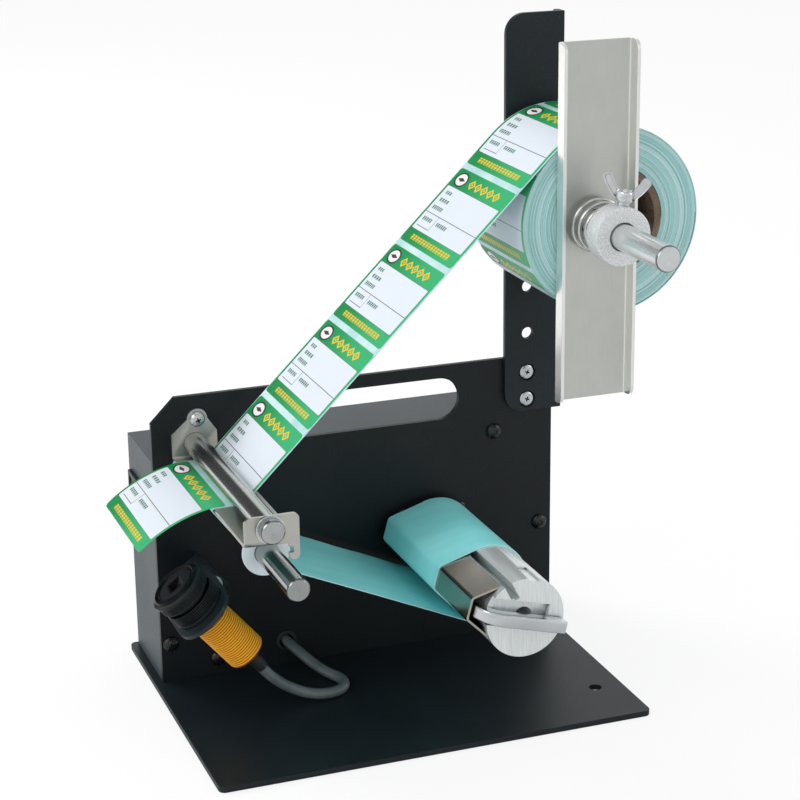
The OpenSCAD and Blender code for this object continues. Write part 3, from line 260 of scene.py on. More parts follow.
CABLE_THICK = 4.8
CABLE_ROUTE = [
    (-59.3, -15, 21.7), (-55.2, -15, 17), (-50.4, -15.1, 12.7), (-45, -15.4, 9.2), (-39.5, -15.9, 6.7),
    (-34, -16.4, 5.3), (-29, -16.5, 4.95), (-24.2, -15.2, 4.95), (-20.7, -11.7, 4.95), (-19.4, -6.9, 4.95),
    (-20.4, -2.4, 4.95), (-22.8, 2.6, 5.1), (-25.6, 7.6, 6), (-28.4, 12.4, 7.8), (-31.1, 17, 9.9),
    (-33.5, 21.4, 11.9), (-35.2, 26, 13.3), (-36, 31, 13.9), (-36.2, 36, 14)]
cable = traced("sensor_lead", smooth_route(CABLE_ROUTE, 5))
cable.data.bevel_depth = CABLE_THICK / 2 * MM
cable.data.bevel_resolution = 6
cable.data.use_fill_caps = True
cable.data.splines[0].use_smooth = True
cable_jacket = Finish("cable_jacket", "626c6f", 0.34, tint=(9.0, 4, "596366", "6b7578", 0.3, 0.7),
                      gloss=(9.0, 4, 0.26, 0.16), relief=(0.4, 2, 0.006))
cable.data.materials.append(cable_jacket.material)
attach(cable, "frame")
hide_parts("sensor_cable")


# Base: one flat steel sheet with rounded corners and a bolt-down hole, laser cut and powder coated.
# Two countersunk screws come up through it into small angles behind the upright plate.


def mesh_of(shape, name="part"):
    """A mesh with the form of a bmesh, which is used up."""
    mesh = bpy.data.meshes.new(name)
    shape.to_mesh(mesh)
    shape.free()
    return mesh


def add_piece(name, shape, finish, body, stands_for=(), edge=0.0, crease=32):
    """Makes a bmesh a piece: merged, facing outwards, smooth between sharp edges, its edges rounded."""
    bmesh.ops.remove_doubles(shape, verts=shape.verts, dist=1e-6)
    bmesh.ops.recalc_face_normals(shape, faces=shape.faces)
    mesh = mesh_of(shape, name)
    mesh.shade_smooth()
    mesh.set_sharp_from_angle(angle=math.radians(crease))
    mesh.materials.append(finish.material)
    piece = shown(name, mesh)
    if edge:
        rounding = piece.modifiers.new("rounded_edges", "BEVEL")
        rounding.width, rounding.segments = edge * MM, 2
        rounding.limit_method, rounding.angle_limit = "ANGLE", math.radians(crease)
        rounding.harden_normals = True
    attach(piece, body)
    if stands_for:
        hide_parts(*stands_for)


def from_frame(node):
    """A merged copy of a CAD node's solid, its flat faces made whole."""
    shape = bmesh.new()
    shape.from_mesh(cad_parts[node].data)
    bmesh.ops.remove_doubles(shape, verts=shape.verts, dist=2e-6)
    bmesh.ops.dissolve_limit(shape, angle_limit=math.radians(0.4), verts=shape.verts, edges=shape.edges)
    return shape


def dressed(node, name, finish, edge, body="frame", shape=None):
    """Adds a piece in the form of a CAD node, or in the one given, that stands for that node."""
    add_piece(name, shape or from_frame(node), finish, body, [node], edge)


def powder_coat(name, dark, light, roughness=0.44):
    """Fine-textured satin powder coat: pits and peaks in its relief, painted light specks as their glints, over
    slight clouds.
    """
    coat = Finish(name, dark, roughness, Specular_IOR_Level=0.3)
    pits = coat.grain(0.55, 2, 0.6)
    glint_specks = coat.grain(0.42, 0, spot=coat.place(shift=(7, 3, 1)))
    tone = coat.mix(coat.grain(45, 3).between(0.3, 0.7), dark, light)
    # The light grey specks are painted glints: painted highlights on the coat.
    coat.feed(Base_Color=coat.mix(glint_specks.between(0.7, 0.82) * 0.16, tone, "5d6568"),
              Roughness=pits * 0.2 + (roughness - 0.1))
    coat.bump(pits, 0.02, 0.8)
    return coat


base_coat = powder_coat("powder_coat_base", "141c20", "1a2327", 0.4)
dressed("base_plate", "base_sheet", base_coat, 0.4)

# Upright plate: 2.4 mm steel, laser cut with a cut-off top left corner and a carrying slot, and powder
# coated. It stands on the base and carries the rest.
plate_coat = powder_coat("powder_coat_plate", "0c1316", "12191d")
dressed("front_plate", "upright_plate", plate_coat, 0.4)

# Housing: a folded sheet cover behind the plate, open at the front and below. Its rim is screwed
# to the plate, and slots in its back let the drive's warm air out.
# The housing's coat is painted a lighter grey than the other black coats: painted light for the sheen its walls
# take on at a grazing angle.
housing_coat_painted_light = powder_coat("powder_coat_housing", "3a4347", "434d51", 0.42)
dressed("rear_housing", "housing_cover", housing_coat_painted_light, 0.9)


# Roll arm: a folded steel strip up the plate's right edge, with four height holes for the shaft. Its
# two screws lie in wide countersinks.


def evaluated(holder):
    """The form of an object with its modifiers run, as a bmesh; the object is removed."""
    mesh = bpy.data.meshes.new_from_object(holder.evaluated_get(bpy.context.evaluated_depsgraph_get()))
    shape = bmesh.new()
    shape.from_mesh(mesh)
    bpy.data.objects.remove(holder)
    return shape


def cut(shape, *tools):
    """A shape with other shapes cut out of it."""
    for tool in tools:
        body, knife = shown("solid", mesh_of(shape)), shown("tool", mesh_of(tool))
        cutting = body.modifiers.new("cut", "BOOLEAN")
        cutting.solver, cutting.operation, cutting.object = "EXACT", "DIFFERENCE", knife
        shape = evaluated(body)
        bpy.data.objects.remove(knife)
    return shape


def facing(way):
    """The turn that takes straight up to a way."""
    return Vector((0, 0, 1)).rotation_difference(Vector(way)).to_matrix().to_4x4()


FORWARD, UP, MIDDLE = (0, -1, 0), (0, 0, 1), (0, 0, 0)


def turned(profile, centre, axis=FORWARD, sides=96):
    """A turned shape: (radius, place along the axis) points in mm, spun about an axis through a centre."""
    shape = bmesh.new()
    stand = Matrix.Translation(Vector(centre) * MM) @ facing(axis)
    rings = []
    for radius, along in profile:
        count = 1 if radius < 1e-6 else sides
        ring = [shape.verts.new(stand @ (Vector((radius * math.cos(2 * math.pi * i / sides),
                                                 radius * math.sin(2 * math.pi * i / sides), along)) * MM))
                for i in range(count)]
        rings.append(ring * (sides // count))
    for low, high in zip(rings, rings[1:]):
        for i in range(sides):
            j = (i + 1) % sides
            corners = list(dict.fromkeys((low[i], low[j], high[j], high[i])))
            if len(corners) > 2:
                shape.faces.new(corners)
    return shape


ARM_FACE, ARM_SCREWS = 24.1, [(82.9, 115.8), (82.9, 128.7)]
SINK = [(0, -1), (4.1, -1), (4.1, 0.15), (3.1, 1.2), (0, 1.2)]
arm_coat = powder_coat("powder_coat_arm", "182024", "1d272b")
sinks = [turned(SINK, (x, ARM_FACE, z), (0, 1, 0), 48) for x, z in ARM_SCREWS]
dressed("roll_arm", "arm_strip", arm_coat, 0.3, shape=cut(from_frame("roll_arm"), *sinks))


# Screws with a domed head and a cross recess: black oxide on the plate, bright zinc elsewhere. Each
# stands where its CAD solid is, its cross turned as it happened to be tightened.


class Recipe(Tree):
    """A geometry node tree with named inputs for its sizes: lengths in mm, numbers, and things."""

    FAMILY = "GeometryNode"
    KINDS = {"mm": "Float", "number": "Float", "count": "Int", "object": "Object", "finish": "Material"}

    def __init__(self, name, **sizes):
        super().__init__(bpy.data.node_groups.new(name, "GeometryNodeTree"))
        self.sizes = dict(sizes, finish="finish")
        self.keys = {size: self.nodes.interface.new_socket(
            size, in_out="INPUT", socket_type="NodeSocket" + self.KINDS[kind]).identifier
            for size, kind in self.sizes.items()}
        self.nodes.interface.new_socket("Shape", in_out="OUTPUT", socket_type="NodeSocketGeometry")
        self.given = self.nodes.nodes.new("NodeGroupInput")

    def take(self, *sizes):
        """The values of named inputs."""
        levels = [Level(self, self.given.outputs[size]) for size in sizes]
        return levels if len(levels) > 1 else levels[0]

    def vector(self, x=0.0, y=0.0, z=0.0):
        """Three numbers as one vector."""
        return self.node("ShaderNodeCombineXYZ", {0: x, 1: y, 2: z})

    def moved(self, shape, shift=(0, 0, 0), turn=(0, 0, 0), scale=(1, 1, 1)):
        """A shape scaled, turned and shifted."""
        return self.node("Transform", {
            "Geometry": shape, "Translation": shift, "Rotation": turn, "Scale": scale})

    def joined(self, *shapes):
        """Several shapes as one."""
        made = self.nodes.nodes.new("GeometryNodeJoinGeometry")
        for shape in shapes:
            self.nodes.links.new(shape.socket, made.inputs[0])
        return Level(self, made.outputs[0])

    def marked(self, shape, name, value, kind, domain):
        """A shape with a named value on its faces or corners, which a finish can read."""
        return self.node("StoreNamedAttribute", {"Geometry": shape, "Name": name, "Value": value},
                         data_type=kind, domain=domain)

    def carved(self, shape, tool):
        """A shape less a tool."""
        return self.node("MeshBoolean", {"Mesh 1": shape, "Mesh 2": tool}, operation="DIFFERENCE",
                         solver="EXACT")

    def swept(self, line, section):
        """A curve given a closed section, with its ends capped."""
        return self.node("CurveToMesh", {"Curve": line, "Profile Curve": section, "Fill Caps": True})

    def spiral(self, steps, turns, start, end, height=0.0):
        """A spiral or helix, with some steps to a turn."""
        return self.node("CurveSpiral", {
            "Resolution": steps, "Rotations": turns, "Start Radius": start, "End Radius": end,
            "Height": height})

    def serve(self, shape):
        """Ends the tree: instances made real, and the finish put on."""
        whole = self.node("RealizeInstances", {0: shape})
        whole = self.node("SetMaterial", {"Geometry": whole, "Material": self.take("finish")})
        self.node("NodeGroupOutput", {0: whole})

    def make(self, finish, at=(0, 0, 0), **values):
        """Runs the tree once and gives its mesh as a bmesh, shifted to a place in mm."""
        holder = shown("holder", bpy.data.meshes.new("holder"))
        maker = holder.modifiers.new("maker", "NODES")
        maker.node_group = self.nodes
        for size, value in dict(values, finish=finish.material).items():
            maker[self.keys[size]] = value * MM if self.sizes[size] == "mm" else value
        shape = evaluated(holder)
        bmesh.ops.translate(shape, verts=shape.verts, vec=Vector(at) * MM)
        return shape


screw_recipe = r = Recipe("cross_screw", head="mm", rise="mm", shank="mm", length="mm")
head, rise, shank, length = r.take("head", "rise", "shank", "length")
head_r = head * 0.5
dome = r.node("MeshUVSphere", {"Segments": 44, "Rings": 22, "Radius": 1.0})
dome = r.moved(dome, scale=r.vector(head_r, head_r, rise))
shank_end = r.node("MeshCylinder", {"Vertices": 24, "Radius": shank * 0.5, "Depth": length}, fill_type="NGON")
below = r.moved(r.node("MeshCube", {"Size": r.vector(head_r * 3, head_r * 3, rise * 2)}),
                shift=r.vector(z=rise * -1))
screw = r.joined(r.carved(dome, below), r.moved(shank_end, shift=r.vector(z=length * -0.5)))
for wide, thin in ((1.0, 0.27), (0.27, 1.0)):
    bit = r.node("MeshCone", {"Vertices": 4, "Radius Top": 0.82, "Radius Bottom": 0.42, "Depth": 1.0})
    bit = r.moved(bit, turn=(0, 0, math.pi / 4))
    # The recess's faces are marked so that a finish can paint shade into them.
    bit = r.marked(bit, "sunk", 1.0, "FLOAT", "FACE")
    bit = r.moved(bit, shift=r.vector(z=rise * 0.78),
                  scale=r.vector(head_r * wide, head_r * thin, rise * 1.2))
    screw = r.carved(screw, bit)
r.serve(screw)
tightened = random.Random(4)


def screws(name, finish, stands_for, size, places, out=FORWARD):
    """Puts cross screws at places in mm, their heads facing the way out."""
    one = mesh_of(screw_recipe.make(finish, **dict(zip(("head", "rise", "shank", "length"), size))))
    whole = bmesh.new()
    for place in places:
        copy = one.copy()
        copy.transform(Matrix.Translation(Vector(place) * MM) @ facing(out)
                       @ Matrix.Rotation(tightened.uniform(0, 1.57), 4, "Z"))
        whole.from_mesh(copy)
        bpy.data.meshes.remove(copy)
    add_piece(name, whole, finish, "frame", stands_for, crease=38)


black_oxide = Finish("black_oxide", "121415", 0.24, gloss=(0.9, 2, 0.16, 0.2), relief=(0.6, 2, 0.012))
bright_zinc = Finish("bright_zinc", "c9ccd0", 0.24, 1.0, gloss=(0.8, 2, 0.14, 0.2))
zinc_tone = bright_zinc.mix(bright_zinc.grain(2.5, 3), "b2b7bb", "dcdfe2")
# The bright screws' cross recesses are painted near-black: painted shade in the recess.
sunk = bright_zinc.node("Attribute", out="Fac", attribute_name="sunk")
bright_zinc.feed(Base_Color=bright_zinc.mix(sunk, zinc_tone, "1d1f20"))
white_zinc = Finish("white_zinc", "eff0ee", 0.4, 0.2, tint=(1.5, 3, "dcddda", "f8f9f7"))
PLATE_FACE, BRACKET_FACE, TAB_FACE, BOARD_FACE = 26.5, 24.5, 25, 73.1
PLATE_SCREWS = [(-89.4, 20.7), (90.4, 53.7), (67.3, 101.6), (-67.7, 10.3), (70.1, 10.3)]
BOARD_SCREWS = [(x, z) for x in (-81, -23) for z in (25.5, 63.5)]
for name, finish, slot, stands_for, size, face, spots, out in (
        ("plate_screw_heads", black_oxide, "black_screws", ["plate_screws"], (7.6, 2.4, 3, 7.3), PLATE_FACE,
         PLATE_SCREWS, FORWARD),
        ("gearbox_screw_heads", black_oxide, "black_screws", ["motor_screws"], (5.6, 1.6, 3, 10.4),
         PLATE_FACE, [(22.4, 66.8), (50.4, 66.8)], FORWARD),
        ("arm_screw_heads", bright_zinc, "polished", ["arm_screws"], (7.0, 1.0, 4, 5.2), ARM_FACE + 0.75,
         ARM_SCREWS, FORWARD),
        ("peel_screw_head", bright_zinc, "polished", ["peel_screw"], (7.2, 2.6, 3, 6.9), TAB_FACE,
         [(-73.4, 125.5)], FORWARD),
        ("sensor_bracket_screw_heads", white_zinc, "zinc", ["bracket_screws"], (8.6, 2.4, 4, 4.4),
         BRACKET_FACE, [(-78.45, 39.28), (-69.26, 46.99)], FORWARD),
        ("board_screw_heads", bright_zinc, "zinc", [], (5.6, 1.6, 3, 4), BOARD_FACE, BOARD_SCREWS,
         (0, 1, 0))):
    screws(name, finish, stands_for, size, [(x, face, z) for x, z in spots], out)


# Roll shaft: an 11 mm bar of ground steel with a chamfered end. A threaded stud at its back goes
# through one of the arm's height holes.


def eased(points, radius, steps=5, closed=False):
    """A line of points with its corners rounded, as a bent or turned edge is."""
    line = []
    for i, here in enumerate(points):
        before, here, after = (
            Vector(point) for point in (points[i - 1], here, points[(i + 1) % len(points)]))
        if not closed and i in (0, len(points) - 1):
            line.append(here)
            continue
        start, end = (here + way.normalized() * min(radius, way.length / 2.01)
                      for way in (before - here, after - here))
        for k in range(steps + 1):
            t = k / steps
            line.append(start * (1 - t) ** 2 + here * 2 * t * (1 - t) + end * t ** 2)
    return line


def ringed(profile, radius, steps, centre, axis=FORWARD, sides=96):
    """A turned ring: a closed profile with its corners rounded, spun about an axis through a centre."""
    line = eased(profile, radius, steps, closed=True)
    return turned(line + line[:1], centre, axis, sides)


def drawn_rod(name, dark, light, roughness, tip, metallic=1.0):
    """Ground steel: faint long clouds, faint grinding rings, and painted shade on the chamfer at the tip."""
    steel = Finish(name, light, roughness, metallic)
    smears = steel.grain(9, 3, 0.5, steel.place((1, 0.3, 1)))
    rings = steel.grain(1.4, 2, 0.5, steel.place((0.1, 1, 0.1)))
    along = steel.axes(steel.place())[1]
    # A narrow ring on the tip's chamfer is painted dark grey: painted shade.
    chamfer = along.between(tip + 1.0, tip + 0.8) & along.between(tip + 0.2, tip + 0.35)
    tone = steel.mix(smears * 0.8 + rings * 0.2, dark, light)
    steel.feed(Base_Color=steel.mix(chamfer * 0.8, tone, "3c4041"),
               Roughness=smears * 0.05 + (roughness - 0.025))
    return steel


def stud(radius, bar_radius, long=10.4):
    """The threaded stud at a bar's back end, and the bar's shoulder."""
    return [(0, -long), (radius, -long), (radius, 0), (bar_radius, 0)]


def rod_end(radius, tip, chamfer):
    """The end of a turned bar: chamfer, face with a slight dish, and the centre drill's mark."""
    return [(r, tip - down) for r, down in (
        (radius, chamfer), (radius - chamfer * 0.5, chamfer * 0.45), (radius - chamfer, 0),
        (radius * 0.55, 0.04), (radius * 0.5, 0.1), (0.7, 0.12), (0.4, 0.22), (0, 0.24))]


SHAFT_X, SHAFT_Z, SHAFT_R, SHAFT_TIP = 82.9, 213.4, 5.5, -112.7
shaft_steel = drawn_rod("ground_steel_shaft", "d0d4d4", "e6eaea", 0.24, SHAFT_TIP, 0.72)
shaft_line = stud(2.5, SHAFT_R) + rod_end(SHAFT_R, ARM_FACE - SHAFT_TIP, 0.8)
add_piece("roll_bar", turned(shaft_line, (SHAFT_X, ARM_FACE, SHAFT_Z)), shaft_steel, "frame",
          ["roll_shaft"])

# Press rod: a 10 mm roller of ground steel that holds the labels down on the tray. It turns in the
# peel bracket, kept by a ring in its groove.
PRESS_X, PRESS_Z, PRESS_R, PRESS_TIP, PRESS_BACK = -74.8, 114.4, 5.0, -91.5, 26.2
GROOVE_R, GROOVE_AT = 4.3, -86.5
press_steel = drawn_rod("ground_steel_press", "a0a4a3", "c2c6c4", 0.2, PRESS_TIP)
groove_low, groove_high = (PRESS_BACK - GROOVE_AT + gap for gap in (0.1, 1.3))
press_line = [(0, 0), (PRESS_R, 0), (PRESS_R, groove_low), (GROOVE_R, groove_low), (GROOVE_R, groove_high),
              (PRESS_R, groove_high)] + rod_end(PRESS_R, PRESS_BACK - PRESS_TIP, 0.6)
add_piece("press_bar", turned(press_line, (PRESS_X, PRESS_BACK, PRESS_Z)), press_steel, "press",
          ["press_rod"])
add_piece("press_ring", ringed([(4.32, 0), (6, 0), (6, 1), (4.32, 1)], 0.2, 3,
                               (PRESS_X, GROOVE_AT - 0.2, PRESS_Z)), bright_zinc, "press", ["rod_rings"])

# Guide rod: a second 10 mm bar of ground steel, below the tray, with its threaded stud in the plate.
# The bare liner turns round it towards the reel.
GUIDE_X, GUIDE_Z, GUIDE_R, GUIDE_TIP = -64.1, 87.2, 5, -88.2
guide_steel = drawn_rod("ground_steel_guide", "8d9190", "b4b8b7", 0.16, GUIDE_TIP)
guide_line = stud(3, GUIDE_R) + rod_end(GUIDE_R, PLATE_FACE - GUIDE_TIP, 0.6)
add_piece("guide_bar", turned(guide_line, (GUIDE_X, PLATE_FACE, GUIDE_Z)), guide_steel, "frame",
          ["liner_rod"])

# Guide disc: a thin disc moulded in pale plastic. It slides on the guide rod and keeps the liner's
# edge in line.
DISC_EDGE, DISC_BACK = [(5.1, 0), (10.3, 0), (10.3, 1.5), (5.1, 1.5)], -42.6
disc_white = Finish("disc_white", "dbe9ef", 0.4, tint=(6, 3, "cfe0e8", "e6f0f4"), relief=(0.8, 2, 0.01))
add_piece("web_disc", ringed(DISC_EDGE, 0.35, 4, (GUIDE_X, DISC_BACK, GUIDE_Z)), disc_white, "disc",
          ["guide_disc"])

# Rear flange: a powder-coated steel disc on the shaft behind the roll, pressed with a rolled rim and
# a raised middle.
FLANGE_EDGE = [(6, 0), (30, 0), (30, 2.2), (28.6, 2.2), (28.6, 1.6), (15, 1.6), (13.5, 4.9), (6, 4.9)]
flange_coat = powder_coat("powder_coat_flange", "1a1e20", "23282a", 0.5)
add_piece("rear_flange", ringed(FLANGE_EDGE, 0.5, 4, (SHAFT_X, ARM_FACE, SHAFT_Z)), flange_coat, "frame",
          ["inner_flange"])

# Core: a tube of rolled cardboard, brown and fibrous, that the labels are wound on. Its bore is much
# wider than the shaft.
ROLL_X, ROLL_Z, ROLL_R, CORE_R, CORE_WALL = 91.9, 213.0, 40.3, 23.3, 3.1
WEB_BACK, WEB_WIDE = 18.9, 61.2
CORE_EDGE = [(CORE_R - CORE_WALL, 0), (CORE_R, 0), (CORE_R, WEB_WIDE - 0.2),
             (CORE_R - CORE_WALL, WEB_WIDE - 0.2)]
card = Finish("cardboard", "6b5748", 0.86)
fibres = card.grain(0.5, 5, 0.62, card.place((1, 0.25, 1)))
browns = fibres.between(0.3, 0.72) * 0.7 + card.grain(5, 4).between(0.35, 0.7) * 0.3
card.feed(Base_Color=card.mix(browns, "54423a", "927d68"))
card.bump(fibres, 0.12)
add_piece("card_core", ringed(CORE_EDGE, 0.3, 3, (ROLL_X, WEB_BACK - 0.1, ROLL_Z)), card, "roll",
          ["roll_core"])

# Wound labels: the liner with its labels lies on the core in turns that don't end quite flush, so
# the roll's side shows fine light and dark rings. The outermost turn carries its labels outwards.
wound = Finish("wound_labels", "8fbfbc", 0.6)
x, y, z = wound.axes(wound.place())
off_axis = ((x - ROLL_X) * (x - ROLL_X) + (z - ROLL_Z) * (z - ROLL_Z)).maths("SQRT")
layers = wound.grain(0.75, 2, 0.7, wound.node("CombineXYZ", {0: off_axis, 1: 0.0}))
bands = wound.grain(3.2, 3, 0.6, wound.node("CombineXYZ", {0: off_axis, 1: 3.0}))
scuffs = wound.grain(0.9, 5, 0.75)
tone = wound.mix(bands.between(0.3, 0.7), "93c9c9", "bfe6e6")
tone = wound.mix(layers.between(0.45, 0.35) * 0.9, tone, "4f9092")
tone = wound.mix(layers.between(0.54, 0.63), tone, "f6fefe")
wound.feed(Base_Color=wound.mix(scuffs.between(0.5, 0.8) * 0.3, tone, "7fb3b2"),
           Roughness=layers * 0.2 + 0.55)
wound.bump(layers, 0.2)

roll_recipe = r = Recipe("roll_layers", inner="mm", outer="mm", turns="number", width="mm", wander="mm")
inner, outer, turns = r.take("inner", "outer", "turns")
section = r.node("CurvePrimitiveQuadrilateral", {
    "Width": (outer - inner) / turns * 0.97, "Height": r.take("width")})
ribbon = r.swept(r.spiral(110, turns, inner, outer), section)
flat = r.node("ShaderNodeVectorMath", {0: r.node("InputPosition"), 1: (1, 1, 0)}, operation="MULTIPLY")
off = r.node("ShaderNodeVectorMath", {0: flat}, out=1, operation="LENGTH")
fine, coarse = (
    r.node("ShaderNodeTexNoise", {"W": off * pace, "Scale": 1.0, "Detail": detail}, noise_dimensions="1D")
    for pace, detail in ((1300, 1.0), (260, 0.0)))
slip = (fine * 0.4 + coarse * 0.6 - 0.5) * r.take("wander")
ribbon = r.node("SetPosition", {"Geometry": ribbon, "Offset": r.vector(z=slip)})
r.serve(r.moved(ribbon, turn=(math.pi / 2, 0, 0)))
add_piece("wound_turns", roll_recipe.make(
    wound, (ROLL_X, WEB_BACK - WEB_WIDE / 2, ROLL_Z), inner=CORE_R + 0.2, outer=ROLL_R - 0.5, turns=44.0,
    width=WEB_WIDE - 1.1, wander=2.0), wound, "roll", ["label_roll"])


# Retaining plate: a stainless channel, lips towards the front, that the spring presses on the roll.
# Its lips, more than about 15 mm either side of the shaft, are painted near-white: a painted highlight on their
# bends and edges.


def worn_steel(name, dark, light, along, roughness=0.3):
    """Cold-rolled stainless: fine rolling lines one way, faint clouds and a few dull smears."""
    steel = Finish(name, light, roughness, 1.0)
    lines = steel.grain(0.3, 2, 0.6, steel.place([0.02 if a else 1 for a in along]))
    smears = steel.grain(7, 4, 0.6)
    steel.tone = steel.mix(steel.grain(26, 4, 0.6).between(0.2, 0.8) * 0.5 + lines * 0.5, dark, light)
    steel.feed(Base_Color=steel.tone,
               Roughness=smears.between(0.3, 0.8) * 0.05 + lines * 0.06 + (roughness - 0.04))
    return steel


channel_steel = worn_steel("stainless_channel", "c4c6c2", "d8dad5", (0, 0, 1), 0.34)
# Painted highlight: the lips, beyond about 15 mm from the shaft, are painted near-white.
lip_highlight = abs(channel_steel.axes(channel_steel.place())[0] - SHAFT_X).between(14.8, 15.6)
channel_steel.feed(Base_Color=channel_steel.mix(lip_highlight, channel_steel.tone, "fbfbf8"))
dressed("retaining_plate", "roll_channel", channel_steel, 0.22, "holder")

# Stop spring: bright steel wire coiled into a short cone round the shaft. It lies between the channel
# and the collar.
SPRING_BACK, SPRING_FRONT, SPRING_WIRE = -44.4, -62.6, 1.8
spring_recipe = r = Recipe("cone_spring", start="mm", end="mm", turns="number", height="mm", wire="mm")
coil = r.spiral(72, *r.take("turns", "start", "end", "height"))
wire_ring = r.node("CurvePrimitiveCircle", {"Resolution": 18, "Radius": r.take("wire") * 0.5})
r.serve(r.moved(r.swept(coil, wire_ring), turn=(math.pi / 2, 0, 0)))
spring_steel = Finish("spring_wire", "d4d7d6", 0.1, 1.0, tint=(3, 3, "b9bab4", "e2e4e3"),
                      gloss=(1.2, 3, 0.06, 0.16))
add_piece("cone_spring", spring_recipe.make(
    spring_steel, (SHAFT_X, SPRING_BACK - SPRING_WIRE / 2, SHAFT_Z), start=11.3, end=9.35, turns=3.4,
    height=SPRING_BACK - SPRING_FRONT - SPRING_WIRE, wire=SPRING_WIRE), spring_steel, "stop",
    ["stop_spring"])

# Stop collar: a turned aluminium ring with a matt, grainy skin. It is bored a little wider than the
# shaft, and the wing screw holds it there.
COLLAR_BACK, COLLAR_LONG, COLLAR_R, COLLAR_BORE_R = -62.6, 10.0, 12.25, 6.0
COLLAR_EDGE = [(COLLAR_BORE_R, 0), (COLLAR_R, 0), (COLLAR_R, COLLAR_LONG), (COLLAR_BORE_R, COLLAR_LONG)]
collar_skin = Finish("collar_skin", "d6dadc", 0.5, 0.25)
collar_grit = collar_skin.grain(0.42, 2, 0.6)
collar_skin.feed(Base_Color=collar_skin.mix(collar_grit.between(0.3, 0.7), "c3c8ca", "fafbfb"),
                 Roughness=collar_grit * 0.2 + 0.4)
collar_skin.bump(collar_grit, 0.035)
add_piece("shaft_collar", ringed(COLLAR_EDGE, 0.4, 4, (SHAFT_X, COLLAR_BACK, SHAFT_Z), sides=128), collar_skin,
          "stop", ["stop_collar"])


# Wing screw: cast zinc with a bright plating, screwed down through the collar on to the shaft. Its
# two curved ears have a sunk face inside a raised rim.


def way_at(line, i, closed=False):
    """The way that a line runs at its point i."""
    last = len(line) - 1
    before, after = (i - 1, (i + 1) % len(line)) if closed else (max(i - 1, 0), min(i + 1, last))
    return (line[after] - line[before]).normalized()


def tube(rings, shape):
    """Joins rings of vertices with faces, and caps the first and the last."""
    for low, high in zip(rings, rings[1:]):
        for k in range(len(low)):
            j = (k + 1) % len(low)
            shape.faces.new((low[k], low[j], high[j], high[k]))
    return shape.faces.new(rings[0]), shape.faces.new(rings[-1][::-1])


WING_LEAN, WING_TURN, HUB_AT = 9.3, -33.4, COLLAR_R + 1.4
EAR_LINE = [(1.4, 2.2), (2.8, 2.6), (4.4, 4.1), (6, 6.2), (7.3, 8.2), (8.5, 10.6)]
EAR_RIM, EAR_SLOPE, EAR_SINK = 0.6, 0.18, 0.55
HUB = [(0, 0), (3.2, 0), (3.75, 1.2), (3.75, 4.0), (2.9, 5.2), (0, 5.3)]
STEM = [(0, -8.05), (2.5, -8.05), (2.5, 0), (0, 0)]
wing_zinc = Finish("wing_zinc", "d3d6d8", 0.16, 1.0)
wing_clouds = wing_zinc.grain(2.5, 3, 0.6)
wing_tone = wing_zinc.mix(wing_clouds, "cfd3d6", "eceef0")
# Within about 1.2 mm of a wall, as inside the ears' rims, the zinc is painted dark grey from the AO: painted
# shade in the recesses.
wing_zinc.feed(Base_Color=wing_zinc.mix(wing_zinc.nook(1.2).between(0.35, 0.85), "5d6163", wing_tone),
               Roughness=wing_clouds * 0.16 + 0.06)
ear_route = smooth_route([(out, up, 0) for out, up in EAR_LINE], 5)


def ear(half_turn):
    """One ear: a curved strip 4 mm wide and 2 mm thick, wider at its tip, with a sunk face each side."""
    shape = bmesh.new()
    sides = ([], [])
    for i, here in enumerate(ear_route):
        way = way_at(ear_route, i)
        t = i / (len(ear_route) - 1)
        half = Vector((-way.y, way.x, 0)) * (1.75 + 0.35 * t) * min(1, 0.72 + (1 - t) * 3)
        sides[0].append(here + half)
        sides[1].append(here - half)
    rim = sides[0] + [ear_route[-1] + (ear_route[-1] - ear_route[-2]).normalized() * 0.5] + sides[1][::-1]
    rings = [[shape.verts.new(Vector((p.x, y, p.y)) * MM) for p in rim] for y in (-1.0, 1.0)]
    for cap, sink in zip(tube(rings, shape), (1, -1)):
        for inset in (EAR_RIM, EAR_SLOPE):
            bmesh.ops.inset_region(shape, faces=[cap], thickness=inset * MM, depth=0)
        bmesh.ops.translate(shape, verts=cap.verts, vec=Vector((0, sink * EAR_SINK * MM, 0)))
    shape.transform(Matrix.Rotation(math.radians(WING_TURN + half_turn), 4, "Z"))
    return shape


def united(*shapes):
    """Several bmeshes as one."""
    whole = bmesh.new()
    for shape in shapes:
        mesh = mesh_of(shape)
        whole.from_mesh(mesh)
        bpy.data.meshes.remove(mesh)
    return whole


wing = united(turned(eased(HUB, 0.5, 4), MIDDLE, UP, 64), turned(STEM, MIDDLE, UP, 32), ear(0), ear(180))
wing.transform(Matrix.Translation(Vector((SHAFT_X, COLLAR_BACK - COLLAR_LONG / 2, SHAFT_Z)) * MM)
               @ Matrix.Rotation(math.radians(WING_LEAN), 4, "Y") @ Matrix.Translation((0, 0, HUB_AT * MM)))
add_piece("wing_casting", wing, wing_zinc, "wing", ["wing_screw"], edge=0.2, crease=45)


# Label strip: a pale teal liner that comes off the roll's top, under the press rod and over the tray.
# The labels lie on it at an even pitch with a small gap, and are printed as a blank form.


def heading(angle):
    """The way of an angle in degrees in the front view, [x, z], anticlockwise from the right."""
    return Vector((math.cos(math.radians(angle)), math.sin(math.radians(angle))))


def arc(centre, radius, start, end, steps):
    """Points on an arc in the front view, [x, z] in mm."""
    return [Vector(centre) + heading(start + (end - start) * i / steps) * radius for i in range(steps + 1)]


def even(line, step):
    """A line's points set again at even steps along it."""
    out, spare = [line[0]], 0.0
    for a, b in zip(line, line[1:]):
        length = (b - a).length
        while spare + step <= length:
            spare += step
            out.append(a.lerp(b, spare / length))
        spare -= length
    return out + [line[-1]]


